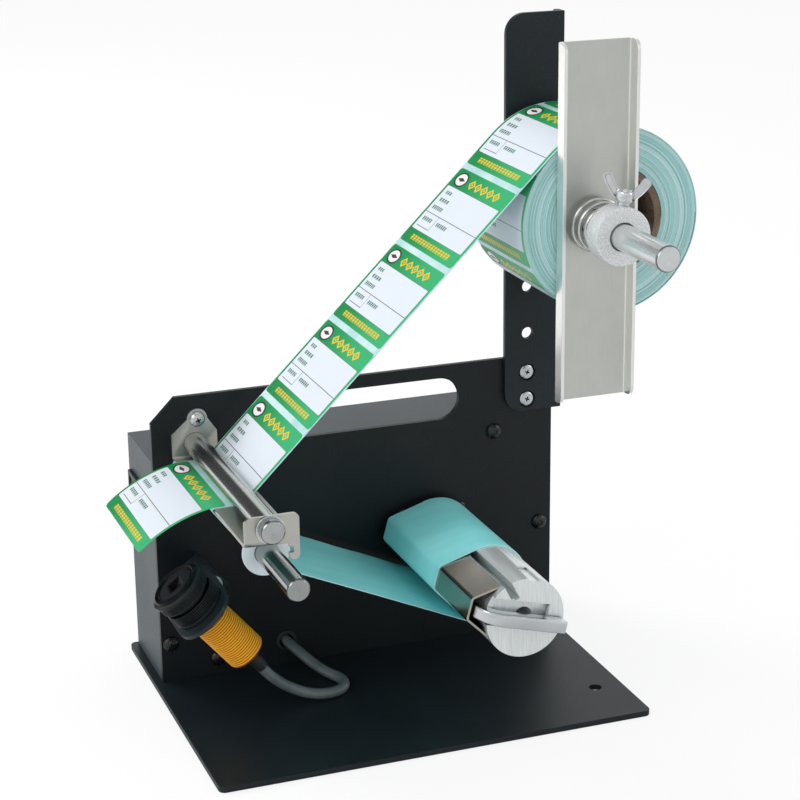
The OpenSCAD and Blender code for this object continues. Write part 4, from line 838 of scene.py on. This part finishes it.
def film(line, low, high, y_back, width, across=8, sway=0.0, closed=False):
    """A thin sheet that follows a line in the front view, from low to high above it, in mm."""
    shape = bmesh.new()
    rows = []
    for i, here in enumerate(line):
        way = way_at(line, i, closed)
        up = Vector((-way.y, way.x))
        ends = min(i, len(line) - 1 - i, 8) / 8
        row = []
        for j in range(across + 1):
            y = y_back - width * j / across
            lift = sway * ends * noise.noise(Vector((here.x * 0.05, y * 0.06, here.y * 0.05)))
            row.append([
                shape.verts.new(Vector((here.x + up.x * (h + lift), y, here.y + up.y * (h + lift))) * MM)
                for h in (low, high)])
        rows.append(row)
    for a, b in zip(rows, rows[1:] + (rows[:1] if closed else [])):
        for p, q, s, t in zip(a, a[1:], b, b[1:]):
            shape.faces.new((p[1], q[1], t[1], s[1]))
            shape.faces.new((p[0], s[0], t[0], q[0]))
        for k in (0, -1):
            shape.faces.new((a[k][0], a[k][1], b[k][1], b[k][0]))
    for row in () if closed else (rows[0], rows[-1]):
        for p, q in zip(row, row[1:]):
            shape.faces.new((p[0], p[1], q[1], q[0]))
    return shape


TRAY_LEFT, TRAY_TOP = -85.15, 108.7
STRIP_RISE, LABEL_THICK, WEB_END = 0.2, 0.13, 78
web_r_roll, web_r_press = ROLL_R + 0.5, PRESS_R + 0.5
fall = Vector((ROLL_X - PRESS_X, ROLL_Z - PRESS_Z))
fall_angle = math.degrees(math.atan2(fall.y, fall.x) + math.asin((web_r_roll + web_r_press) / fall.length))
web_line = even(arc((ROLL_X, ROLL_Z), web_r_roll, WEB_END, fall_angle + 90, 40)
                + arc((PRESS_X, PRESS_Z), web_r_press, fall_angle - 90, -90, 16)
                + [Vector((TRAY_LEFT, PRESS_Z - web_r_press))], 1.0)
liner_face = Finish("liner_film", "c3e4e6", 0.34, tint=(16, 3, "b4dcdf", "d3eef0", 0.3, 0.7),
                    gloss=(16, 3, 0.28, 0.1), relief=(3, 2, 0.02))
# The route runs right to left, so up on the route is below the strip: its top is the low side.
add_piece("label_liner", film(web_line, LABEL_THICK - STRIP_RISE, STRIP_RISE, WEB_BACK, WEB_WIDE), liner_face,
          "frame", ["label_web"], crease=50)

LABEL_LONG, LABEL_WIDE, LABEL_PITCH, LABEL_ROUND = 41.2, 59.8, 44.2, 1.8
print_face = Finish("label_print", "eaf2fb", 0.36, gloss=(8, 2, 0.32, 0.12), relief=(6, 2, 0.012),
                    Specular_IOR_Level=0.3)
corner_x, corner_y, _ = print_face.axes(print_face.node("UVMap", uv_map="label_uv"))
across, along = corner_x * LABEL_WIDE, (1 - corner_y) * LABEL_LONG


def window(value, low, high, blur=0.08):
    """1 between two values, 0 outside, with a soft edge."""
    return value.between(low - blur, low + blur) & value.between(high + blur, high - blur)


def panel_mask(inset, top, bottom, round_mm, blur=0.1):
    """1 inside a panel with rounded corners on the label, in mm from its sides and its heading end."""
    dx = abs(across - LABEL_WIDE / 2) - (LABEL_WIDE / 2 - inset - round_mm) | 0
    dy = abs(along - (top + bottom) / 2) - ((bottom - top) / 2 - round_mm) | 0
    return (dx * dx + dy * dy).maths("SQRT").between(round_mm + blur, round_mm - blur)


def marks(start, step, count, at, tall, share=0.72):
    """A row of small printed blocks across the label, each cut by fine pale lines."""
    block = window((across - start) % step, step * (1 - share) / 2, step * (1 + share) / 2, 0.06)
    cuts = window((along - at) % (tall / 2.2), tall * 0.3, tall * 0.42, 0.05)
    return (block & window(across, start, start + step * count) & window(along, at, at + tall)
            & (1 - cuts * 0.7))


HEADING_END, PANEL_END, GOLD, DIAMONDS_FROM = 9.6, 34.2, "e8c630", 17.4
green = print_face.mix((across * (1 / LABEL_WIDE)).between(0.0, 0.9), "118846", "38b474")
ink = print_face.mix(print_face.grain(2.5, 2).between(0.4, 0.6) * 0.15, green, "2fb06a")
diamond = abs((across - DIAMONDS_FROM) % 6.6 - 3.3) * 0.8 + abs(along - 5.1)
diamonds = diamond.between(2.7, 2.5) & (1 - (diamond.between(1.5, 1.3) & diamond.between(0.6, 0.8)))
badge_x, badge_y = (across - 8.6) * 0.62, along - 5.1
badge = (badge_x * badge_x + badge_y * badge_y).maths("SQRT")
leaf = abs(badge_x) * 0.7 + abs(badge_y) * 1.5
rules = (window(along, 24.4, 24.7) & window(across, 1.8, LABEL_WIDE - 1.8)
         | window(across, 17.2, 17.5) & window(along, 24.6, 32.0)
         | window(along, 31.8, 32.1) & window(across, 4, 17.4))
captions = (marks(4.6, 2.1, 3, 12.2, 1.7) | marks(4.6, 2.5, 4, 16.2, 1.8) | marks(4.0, 1.8, 6, 20.4, 1.9)
            | marks(4.0, 2.0, 5, 26.9, 1.9) | marks(19.4, 1.9, 6, 26.9, 1.9))
for mask, colour in (
        (diamonds & window(across, DIAMONDS_FROM, 50.4), GOLD), (badge.between(3.8, 3.65), "23302b"),
        (badge.between(3.1, 2.95), "f1e9ec"), (leaf.between(1.7, 1.5), "3c4743"),
        (marks(8, 2.9, 15, 36.3, 2.6), GOLD),
        (panel_mask(1.5, HEADING_END, PANEL_END, 1.0), "4a5a50"),
        (panel_mask(1.68, HEADING_END + 0.18, PANEL_END - 0.18, 0.85), "e0e8f1"), (rules, "3c4a44"),
        (captions, "1c6b4d"), (corner_x.between(-0.4, -0.6), "dfe7e6")):
    ink = print_face.mix(mask, ink, colour)
print_face.feed(Base_Color=ink)

label_recipe = r = Recipe("labels_on_route", route="object", first="mm", pitch="mm", labels="count",
                          length="mm", width="mm", round="mm", thick="mm", lift="mm", back="mm")
length, width, rounded = r.take("length", "width", "round")
sheet = r.node("MeshGrid", {"Size X": 1.0, "Size Y": 1.0, "Vertices X": 15, "Vertices Y": 57})
grid_x, grid_y, _ = r.axes(r.node("InputPosition"))
row = ((grid_y + 0.5) * math.pi).maths("COSINE") * -0.5 * length
curl = rounded - (length * 0.5 - abs(row)) | 0
half = width * 0.5 - rounded + (rounded * rounded - curl * curl | 0).maths("SQRT")
shaped = r.node("SetPosition", {"Geometry": sheet, "Position": r.vector(grid_x * 2 * half, row)})
plane_x, plane_y, _ = r.axes(r.node("InputPosition"))
top = r.marked(shaped, "label_uv", r.vector(plane_x / width + 0.5, plane_y / length + 0.5), "FLOAT2",
               "CORNER")
bottom = r.marked(r.node("FlipFaces", {0: shaped}), "label_uv", (-1.0, -1.0, 0.0), "FLOAT2", "CORNER")
raised = r.node("ExtrudeMesh", {
    "Mesh": top, "Offset": (0, 0, 1), "Offset Scale": r.take("thick"), "Individual": False}, mode="FACES")
one_label = r.node("MergeByDistance", {"Geometry": r.joined(raised, bottom), "Distance": 1e-7})
row_of = r.node("MeshLine", {
    "Count": r.take("labels"), "Start Location": r.vector(y=r.take("first")),
    "Offset": r.vector(y=r.take("pitch"))})
many = r.node("RealizeInstances", {0: r.node("InstanceOnPoints", {"Points": row_of, "Instance": one_label})})
flat_x, flat_y, flat_z = r.axes(r.node("InputPosition"))
route = r.node("ObjectInfo", {"Object": r.take("route")}, out=4)
past_end = r.node("FunctionNodeCompare", {0: flat_y, 1: r.node("CurveLength", {0: route})}, data_type="FLOAT",
                  operation="GREATER_THAN")
many = r.node("DeleteGeometry", {"Geometry": many, "Selection": past_end}, domain="POINT")
on_route, way_on = (
    r.node("SampleCurve", {"Curves": route, "Length": flat_y}, out, mode="LENGTH", data_type="FLOAT")
    for out in ("Position", "Tangent"))
up_from = r.node("ShaderNodeVectorMath", {0: way_on, 1: (0, 1, 0)}, operation="CROSS_PRODUCT")
risen = r.node("ShaderNodeVectorMath", {0: up_from, 3: flat_z + r.take("lift")}, operation="SCALE")
for shift in (risen, r.vector(y=r.take("back") - flat_x)):
    on_route = r.node("ShaderNodeVectorMath", {0: on_route, 1: shift}, operation="ADD")
r.serve(r.node("SetPosition", {"Geometry": many, "Position": on_route}))


def labels_on(name, line, first, count, body, stands_for=(), lift=0.0):
    """Lays labels along a line in the front view; first is the middle of the first one, in mm."""
    route = traced("route", [(point.x, 0, point.y) for point in line])
    shape = label_recipe.make(
        print_face, route=route, first=first, pitch=LABEL_PITCH, labels=count, length=LABEL_LONG,
        width=LABEL_WIDE, round=LABEL_ROUND, thick=LABEL_THICK, lift=lift, back=WEB_BACK - WEB_WIDE / 2)
    bpy.data.objects.remove(route)
    bmesh.ops.holes_fill(shape, edges=shape.edges)
    add_piece(name, shape, print_face, body, stands_for, crease=50)


# The web's line reversed runs from the peel edge up to the roll, with up on its upper side. The
# last label on it goes on over the roll's top.
FIRST_GAP, WEB_LABELS = 6.95, 6
labels_on("labels_on_strip", web_line[::-1], FIRST_GAP + LABEL_PITCH / 2, WEB_LABELS, "frame",
          lift=STRIP_RISE - LABEL_THICK)

# Outermost turn of the roll: the strip with its printed side outwards, all round. Its labels have
# the same pitch as those on the free strip.
TURN_R, TURN_GAP, TURN_LABELS = ROLL_R - LABEL_THICK, 100.0, 5
turn_line = arc((ROLL_X, ROLL_Z), TURN_R, TURN_GAP, TURN_GAP - 360, 240)
add_piece("outer_turn", film(turn_line[:-1], -0.2, 0.0, WEB_BACK, WEB_WIDE, closed=True), liner_face, "roll",
          crease=50)
labels_on("labels_on_roll", turn_line, LABEL_PITCH / 2, TURN_LABELS, "roll")

# Presented label: half off its liner, it stands out over the peel edge in one soft bend, ready to
# be taken. Its print is on the upper side only.
OUT_R, OUT_FALL, OUT_SPAN = 62.0, 9.0, 33.0
out_centre = Vector((TRAY_LEFT - 0.3, TRAY_TOP + 0.25)) - heading(90 + OUT_FALL) * OUT_R
out_line = even(arc(out_centre, OUT_R, 90 + OUT_FALL + OUT_SPAN, 90 + OUT_FALL, 60)
                + [Vector((TRAY_LEFT + FIRST_GAP, TRAY_TOP + 0.27))], 0.8)
labels_on("label_presented", out_line, LABEL_LONG / 2 + 0.05, 1, "frame", ["presented_label"])

# Bare liner: the film once its labels are off. It runs back round the peel edge, under the guide rod
# and up to the reel's underside.
LINER_BACK, LINER_WIDE, LINER_HALF = 20.9, WEB_WIDE + 2, 0.14
bare_liner = Finish("bare_liner", "82cfcb", 0.3)
sheen = bare_liner.grain(14, 2, 0.5, bare_liner.place((0.3, 1.4, 0.3)))
liner_tone = bare_liner.mix(sheen.between(0.25, 0.75), "8eebee", "9ff5f7")
# A thin near-white line painted along the film's front edge: a painted highlight.
rim_at = LINER_BACK - WEB_WIDE - 1.5
front_edge_highlight = bare_liner.axes(bare_liner.place())[1].between(rim_at, rim_at - 0.25)
bare_liner.feed(Base_Color=bare_liner.mix(front_edge_highlight * 0.6, liner_tone, "dff7f7"),
                Roughness=sheen * 0.08 + 0.3)
DRUM_R, WRAP_THICK, REEL_TURN = 17.5, 0.8, -15.0
edge_c, guide_c, reel_c = Vector((TRAY_LEFT, 107.95)), Vector((GUIDE_X, GUIDE_Z)), Vector((36.4, 56.8))
edge_r, guide_r, reel_r = 0.9, GUIDE_R + 0.25, DRUM_R + WRAP_THICK + 0.25


def tangent(a, b, r_a, r_b):
    """Angle of the line that leaves one roller and meets the next, both on its upper side."""
    way = b - a
    return math.degrees(math.atan2(way.y, way.x) - math.asin((r_b - r_a) / way.length))


drop_angle = tangent(edge_c, guide_c, edge_r, guide_r)
run_angle = tangent(guide_c, reel_c, guide_r, reel_r)
return_line = even(arc(edge_c, edge_r, 90, drop_angle + 270, 16)
                   + arc(guide_c, guide_r, drop_angle - 90, run_angle - 90, 16), 0.7)
add_piece("liner_to_guide", film(return_line, -LINER_HALF, LINER_HALF, LINER_BACK, LINER_WIDE), bare_liner,
          "frame", ["liner_return"], crease=50)
run_ends = [centre + heading(run_angle - 90) * radius
            for centre, radius in ((guide_c, guide_r), (reel_c, reel_r))]
run = film(even(run_ends, 2.0), -LINER_HALF, LINER_HALF, LINER_BACK, LINER_WIDE, across=14, sway=0.3)
add_piece("liner_to_reel", run, bare_liner, "frame", ["liner_run"], crease=50)


# Peel bracket: folded stainless sheet. Its tab is screwed to the plate, the labels slide over its
# tray, and its end plate holds the press rod's front end.


def round_folds(shape, spots, width):
    """Rounds the fold lines that run along the tray through [y, z] spots in mm."""
    folds = [edge for edge in shape.edges if any(
        all(abs(v.co.y / MM - y) < 0.06 and abs(v.co.z / MM - z) < 0.06 for v in edge.verts)
        for y, z in spots)]
    bmesh.ops.bevel(shape, geom=folds, offset=width * MM, segments=4, profile=0.5, affect="EDGES")


peel_steel = worn_steel("stainless_peel", "b2b3ac", "c8c8c2", (0, 1, 0), 0.32)
peel_shape = from_frame("peel_bracket")
round_folds(peel_shape, [(26.5, 107.2), (-86.5, 107.2)], 2.2)
round_folds(peel_shape, [(25, TRAY_TOP), (-85, TRAY_TOP)], 0.8)
dressed("peel_bracket", "peel_tray", peel_steel, 0.22, shape=peel_shape)

# Take-up drum: turned aluminium on the drive's shaft, with a long slot for the liner's end and grooves
# across its front.
drum_metal = Finish("drum_aluminium", "e4eaea", 0.3, 0.6)
brushed = drum_metal.grain(0.3, 3, 0.7, drum_metal.place((1, 0.02, 0.03), turn=(0, -REEL_TURN, 0)))
drum_tone = drum_metal.mix(brushed.between(0.3, 0.7), "dfe6e7", "f6fafa")
# Where the AO finds a nook, such as the slots, the aluminium is painted dark grey: painted shade.
drum_metal.feed(Base_Color=drum_metal.mix(drum_metal.nook(3.5).between(0.25, 0.7), "3a3e3f", drum_tone),
                Roughness=brushed * 0.16 + 0.24)
drum_metal.bump(brushed, 0.01)
dressed("takeup_drum", "takeup_barrel", drum_metal, 0.25, "takeup")

# Clip: a folded stainless sheet whose bend lies beside the drum, and a bright bar that runs along
# inside it and turns across the drum's front as a handle.
CLIP_REACH, CLIP_BEND, CLIP_HALF, CLIP_FLAP, CLIP_LONG = 24.3, 1.4, 3.9, 120, 12.5
BAR_BACK, BAR_FRONT, BAR_WIDE, BAR_TALL, BAR_END, BAR_BEND = 20, -88.5, 6.5, 5.4, 16.5, 10.0


def on_reel(point):
    """A spot on the reel, [x, z] from its axis as it lies level, turned to where the reel stands."""
    return Matrix.Rotation(math.radians(REEL_TURN), 2) @ point + reel_c


bend_c = Vector((-CLIP_REACH + 1.2, CLIP_HALF))
flap_tip = bend_c + heading(CLIP_FLAP) * CLIP_BEND + heading(CLIP_FLAP - 90) * CLIP_LONG
upper = [flap_tip] + arc(bend_c, CLIP_BEND, CLIP_FLAP, 180, 10)
clip_line = [on_reel(point) for point in upper + [Vector((point.x, -point.y)) for point in reversed(upper)]]
clip_steel = worn_steel("clip_steel", "a9a69c", "c2beb4", (0, 1, 0), 0.22)
add_piece("clip_fold", film(clip_line, -0.5, 0.5, 22.5, 101.3), clip_steel, "clip",
          ["clip_sheet"], edge=0.15, crease=50)
bar_side, bar_across = -CLIP_REACH + 1.1 + BAR_WIDE / 2, BAR_FRONT + BAR_WIDE / 2
bar_route = eased([(bar_side, BAR_BACK, 0), (bar_side, bar_across, 0), (BAR_END, bar_across, 0)], BAR_BEND,
                  12)
bar_section = eased([(BAR_WIDE / 2 * sx, BAR_TALL / 2 * sz)
                     for sx, sz in ((-1, -1), (1, -1), (1, 1), (-1, 1))], 0.8, 3, closed=True)
clip_bar = bmesh.new()
bar_rings = []
for i, here in enumerate(bar_route):
    way = way_at(bar_route, i)
    ring = []
    for side, rise in bar_section:
        spot = here + Vector((-way.y, way.x, 0)) * side
        flat = on_reel(Vector((spot.x, rise - 0.5)))
        ring.append(clip_bar.verts.new(Vector((flat.x, spot.y, flat.y)) * MM))
    bar_rings.append(ring)
tube(bar_rings, clip_bar)
bar_bright = worn_steel("bar_bright", "b9bec2", "e4e8ea", (1, 0, 0), 0.2)
add_piece("clip_handle", clip_bar, bar_bright, "clip", ["clip_bar"], crease=40)

# Spent liner: four turns of film wound over the drum and the clip's fold, with edges that lie a
# little off one another.
SPENT_TURNS, FOLD_REACH, FOLD_R = 4, -23.1, 1.96
wound_off = random.Random(11)
spent = []
for turn in range(SPENT_TURNS):
    grow = WRAP_THICK * turn / SPENT_TURNS
    spots = [spot for *centre, radius in (
        (0, 0, DRUM_R + 0.06), (FOLD_REACH, CLIP_HALF, FOLD_R), (FOLD_REACH, -CLIP_HALF, FOLD_R))
        for spot in arc(centre, radius + grow, 0, 357, 119)]
    ring = [spots[i] for i in geometry.convex_hull_2d(spots)]
    ring = [on_reel(point) for point in even(ring + ring[:1], 1.0)[:-1]]
    back, short = wound_off.uniform(0, 0.5), wound_off.uniform(0.1, 0.9)
    spent.append(film(ring, 0, WRAP_THICK / SPENT_TURNS - 0.02, LINER_BACK - back, LINER_WIDE - short,
                      across=6, closed=True))
add_piece("spent_liner", united(*spent), bare_liner, "takeup", ["wound_liner"], crease=40)

# Sensor bracket: a folded steel angle, powder coated black and screwed to the plate. Its round-ended
# ear carries the sensor's barrel.
EYE, SENSOR_LEAN = Vector((-84.9, -15, 52.8)), 40.0
to_sensor = Matrix.Translation(EYE * MM) @ Matrix.Rotation(-math.radians(SENSOR_LEAN), 4, "Y")
sensor_black = powder_coat("powder_coat_bracket", "1b2327", "242e32", 0.4)
dressed("sensor_bracket", "sensor_angle", sensor_black, 0.45)


# Ring nuts: two rings moulded in gloss black with grip ribs round them. One is the lock nut against
# the ear, the other sits behind the head.


def by_sensor(finish):
    """How far a place is from the sensor's axis, and how far along it from the ear, in millimetres."""
    x, y, z = (place - middle for place, middle in zip(finish.axes(finish.place()), EYE))
    cosine, sine = heading(SENSOR_LEAN)
    across = x * cosine + z * sine
    return (across * across + y * y).maths("SQRT"), z * cosine - x * sine


BARREL_R, NUT_STEP_R, RIB_THICK, RIB_COUNT = 9.0, 10.1, 0.58, 84
LOCK_NUT, HEAD_RING = (2.0, 7.4, 12.0, 1.9), (11.5, 4.0, 12.4, 0.6)
gloss_black = Finish("gloss_black", "0f1214", 0.18, gloss=(5, 1, 0.15, 0.06), Specular_IOR_Level=0.15)
# Beyond about 11.5 mm from the sensor's axis, on the rib crests and the hood's outer wall, the black is painted
# lighter: painted highlight; the faces nearer the axis stay near-black.
gloss_black.feed(Base_Color=gloss_black.mix(by_sensor(gloss_black)[0].between(11.5, 12.1), "060809",
                                            "21272a"))
rib_recipe = r = Recipe("grip_ribs", radius="mm", rib="mm", length="mm", ribs="count")
rib_line = r.node("MeshCircle", {"Vertices": r.take("ribs"), "Radius": r.take("radius")})
rib_bar = r.node("MeshCylinder", {"Vertices": 8, "Radius": r.take("rib") * 0.5, "Depth": r.take("length")},
                 fill_type="NGON")
r.serve(r.node("InstanceOnPoints", {"Points": rib_line, "Instance": rib_bar}))
nut_parts = []
for start, long, outer, skirt in (LOCK_NUT, HEAD_RING):
    bore, step = BARREL_R + 0.05, long + 0.6 * skirt
    nut_edge = [
        (bore, 0), (outer, 0), (outer, skirt - 0.1), (outer - 0.6, skirt + 0.1), (outer - 0.6, long - 0.7),
        (outer - 0.1, long - 0.5), (outer - 0.2, long), (NUT_STEP_R, long), (NUT_STEP_R, step), (bore, step)]
    nut_parts += [ringed(nut_edge, 0.2, 2, (0, 0, start), UP, 108),
                  rib_recipe.make(gloss_black, (0, 0, start + (skirt + long - 0.5) / 2), radius=outer - 0.3,
                                  rib=RIB_THICK, length=long - skirt - 0.5, ribs=RIB_COUNT)]
nuts = united(*nut_parts)
nuts.transform(to_sensor)
add_piece("ring_nuts", nuts, gloss_black, "frame", ["sensor_nuts"], crease=40)

# Sensor barrel: an orange moulded tube, 18 mm across. Its fine thread shows behind the ear, and the
# ring nuts cover most of the rest.
BARREL_BACK, THREAD_DEEP, THREAD_PITCH, HEAD_START = -30.0, 0.6, 1.15, 15.5
THREAD_R, THREAD_START, THREAD_LONG = BARREL_R - THREAD_DEEP, BARREL_BACK + 1.4, 28.1
orange = Finish("orange_barrel", "e39420", 0.34, gloss=(5, 1, 0.28, 0.06), Specular_IOR_Level=0.2)
# The thread's crests are painted light orange and its grooves dark brown: painted highlight and painted shade.
crest_lit_groove_shaded = by_sensor(orange)[0].between(BARREL_R - 0.55, BARREL_R - 0.12)
orange.feed(Base_Color=orange.mix(crest_lit_groove_shaded, "7c4206", "ffb22e"))
thread_recipe = r = Recipe("thread", radius="mm", deep="mm", turns="number", height="mm")
radius, turns, height = r.take("radius", "turns", "height")
ridge = r.node("CurvePrimitiveCircle", {"Resolution": 10, "Radius": r.take("deep")})
r.serve(r.swept(r.spiral(64, turns, radius, radius, height), ridge))
barrel_line = [
    (0, BARREL_BACK), (BARREL_R - 1.4, BARREL_BACK), (BARREL_R - 0.5, BARREL_BACK + 0.5),
    (BARREL_R - 0.4, BARREL_BACK + 1.2), (THREAD_R, THREAD_START), (THREAD_R, 0), (BARREL_R - 0.1, 0),
    (BARREL_R - 0.1, HEAD_START), (0, HEAD_START)]
barrel = united(turned(barrel_line, MIDDLE, UP), thread_recipe.make(
    orange, (0, 0, THREAD_START), radius=THREAD_R, deep=THREAD_DEEP * 0.9, turns=THREAD_LONG / THREAD_PITCH,
    height=THREAD_LONG))
barrel.transform(to_sensor)
add_piece("threaded_barrel", barrel, orange, "frame", ["sensor_barrel"], crease=40)

# Sensor head: a wide moulded ring with a narrower rim, a step inside it, and then the lens disc with
# an oblong window that slopes in to a point.
HEAD_R, RIM_R, HEAD_END = 13.0, 10.9, HEAD_START + 3.1
LENS_START, LENS_R, LENS_DEEP, WINDOW_POINT = HEAD_END - 2.2, 8.2, 1.8, 0.15
WINDOW_X, WINDOW_Y, WINDOW_TURN, WINDOW_OVER = 3.7, 4.8, -6.0, 1.5
HOOD = [
    (0, HEAD_START), (HEAD_R - 0.4, HEAD_START), (HEAD_R, HEAD_START + 0.5), (HEAD_R, HEAD_END - 1.3),
    (RIM_R + 0.4, HEAD_END - 0.9), (RIM_R, HEAD_END), (RIM_R - 0.9, HEAD_END), (RIM_R - 1.2, HEAD_END - 0.8),
    (RIM_R - 1.9, HEAD_END - 0.8), (RIM_R - 2.0, HEAD_END - 0.3), (8.3, HEAD_END - 0.3), (8.25, LENS_START),
    (0, LENS_START)]
hood = turned(eased(HOOD, 0.22, 3), MIDDLE, UP)
hood.transform(to_sensor)
add_piece("sensor_hood", hood, gloss_black, "frame", ["sensor_head"], crease=40)
lens_black = Finish("lens_black", "17171b", 0.4, gloss=(6, 1, 0.3, 0.1), Specular_IOR_Level=0.03)
lens_depth = by_sensor(lens_black)[1] - HEAD_END
lens_black.feed(Base_Color=lens_black.mix(lens_depth.between(-0.4, -0.9), "232328", "020203"))
facets = bmesh.new()
point = facets.verts.new((0, 0, WINDOW_POINT * MM))
brim = [facets.verts.new(Vector((WINDOW_X * WINDOW_OVER * sx, WINDOW_Y * WINDOW_OVER * sy,
                                 WINDOW_POINT + (LENS_DEEP - WINDOW_POINT) * WINDOW_OVER)) * MM)
        for sx, sy in ((1, 1), (-1, 1), (-1, -1), (1, -1))]
facets.faces.new(brim)
for p, q in zip(brim, brim[1:] + brim[:1]):
    facets.faces.new((q, p, point))
bmesh.ops.recalc_face_normals(facets, faces=facets.faces)
facets.transform(Matrix.Rotation(math.radians(WINDOW_TURN), 4, "Z"))
lens_line = eased([(0, 0), (LENS_R, 0), (LENS_R, LENS_DEEP), (0, LENS_DEEP)], 0.2, 3)
lens_disc = cut(turned(lens_line, MIDDLE, UP, 64), facets)
lens_disc.transform(to_sensor @ Matrix.Translation((0, 0, LENS_START * MM)))
add_piece("square_lens", lens_disc, lens_black, "frame", ["sensor_lens"], crease=20)

# Cable sleeve and grommet: soft black rubber. The sleeve tapers from the barrel's back end over the
# cable, and the grommet lines the hole where the cable goes through the plate.
SLEEVE_START, SLEEVE_END = BARREL_BACK - 0.05, BARREL_BACK - 10.3
SLEEVE = [(0, SLEEVE_END), (2.7, SLEEVE_END), (3.0, SLEEVE_END + 3), (3.5, SLEEVE_START), (0, SLEEVE_START)]
rubber = Finish("rubber", "1f2021", 0.6, tint=(2, 4, "18191a", "282a2b", 0.3, 0.7), relief=(0.5, 2, 0.03))
sleeve = turned(eased(SLEEVE, 0.3, 3), MIDDLE, UP, 48)
sleeve.transform(to_sensor)
add_piece("cable_sleeve", sleeve, rubber, "frame", ["strain_relief"])
dressed("cable_grommet", "hole_grommet", rubber, 0.3)

# Switch and inlet: black moulded parts let into the housing's left wall and back. The rocker tips in
# the switch's frame.
moulded = Finish("moulded_black", "1a1c1d", 0.4, gloss=(1.4, 2, 0.32, 0.2), relief=(0.5, 2, 0.02))
dressed("switch_body", "switch_frame", moulded, 0.3)
dressed("switch_rocker", "rocker_key", moulded, 0.4, "rocker")
dressed("power_inlet", "inlet_socket", moulded, 0.3)

# Inside the housing the CAD solids stay, each with its own material: a cast drive case, bronze bush
# and spacers, the board with its parts, and steel. The nuts and small screws are bright zinc.
drive_case = Finish("drive_case", "5f6466", 0.5, 0.6, tint=(6, 4, "4c5153", "747a7c"), relief=(0.8, 2, 0.05))
bronze = Finish("turned_bronze", "b08d4a", 0.34, 1.0, tint=(2, 3, "9a7838", "c29f5a"))
board_green = Finish("board_green", "1d5a38", 0.4, tint=(3, 3, "174a2e", "216a42", 0.45, 0.55))
parts_dark = Finish("parts_dark", "26282a", 0.45, tint=(2, 2, "1d1f20", "35383a"))
inside = {"gearbox": drive_case, "motor": drive_case, "drive_bush": bronze, "board_spacers": bronze,
          "control_board": board_green, "board_parts": parts_dark, "drum_set_screw": black_oxide,
          "drive_shaft": guide_steel}
for node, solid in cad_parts.items():
    for slot in solid.material_slots:
        slot.material = inside.get(node, bright_zinc).material
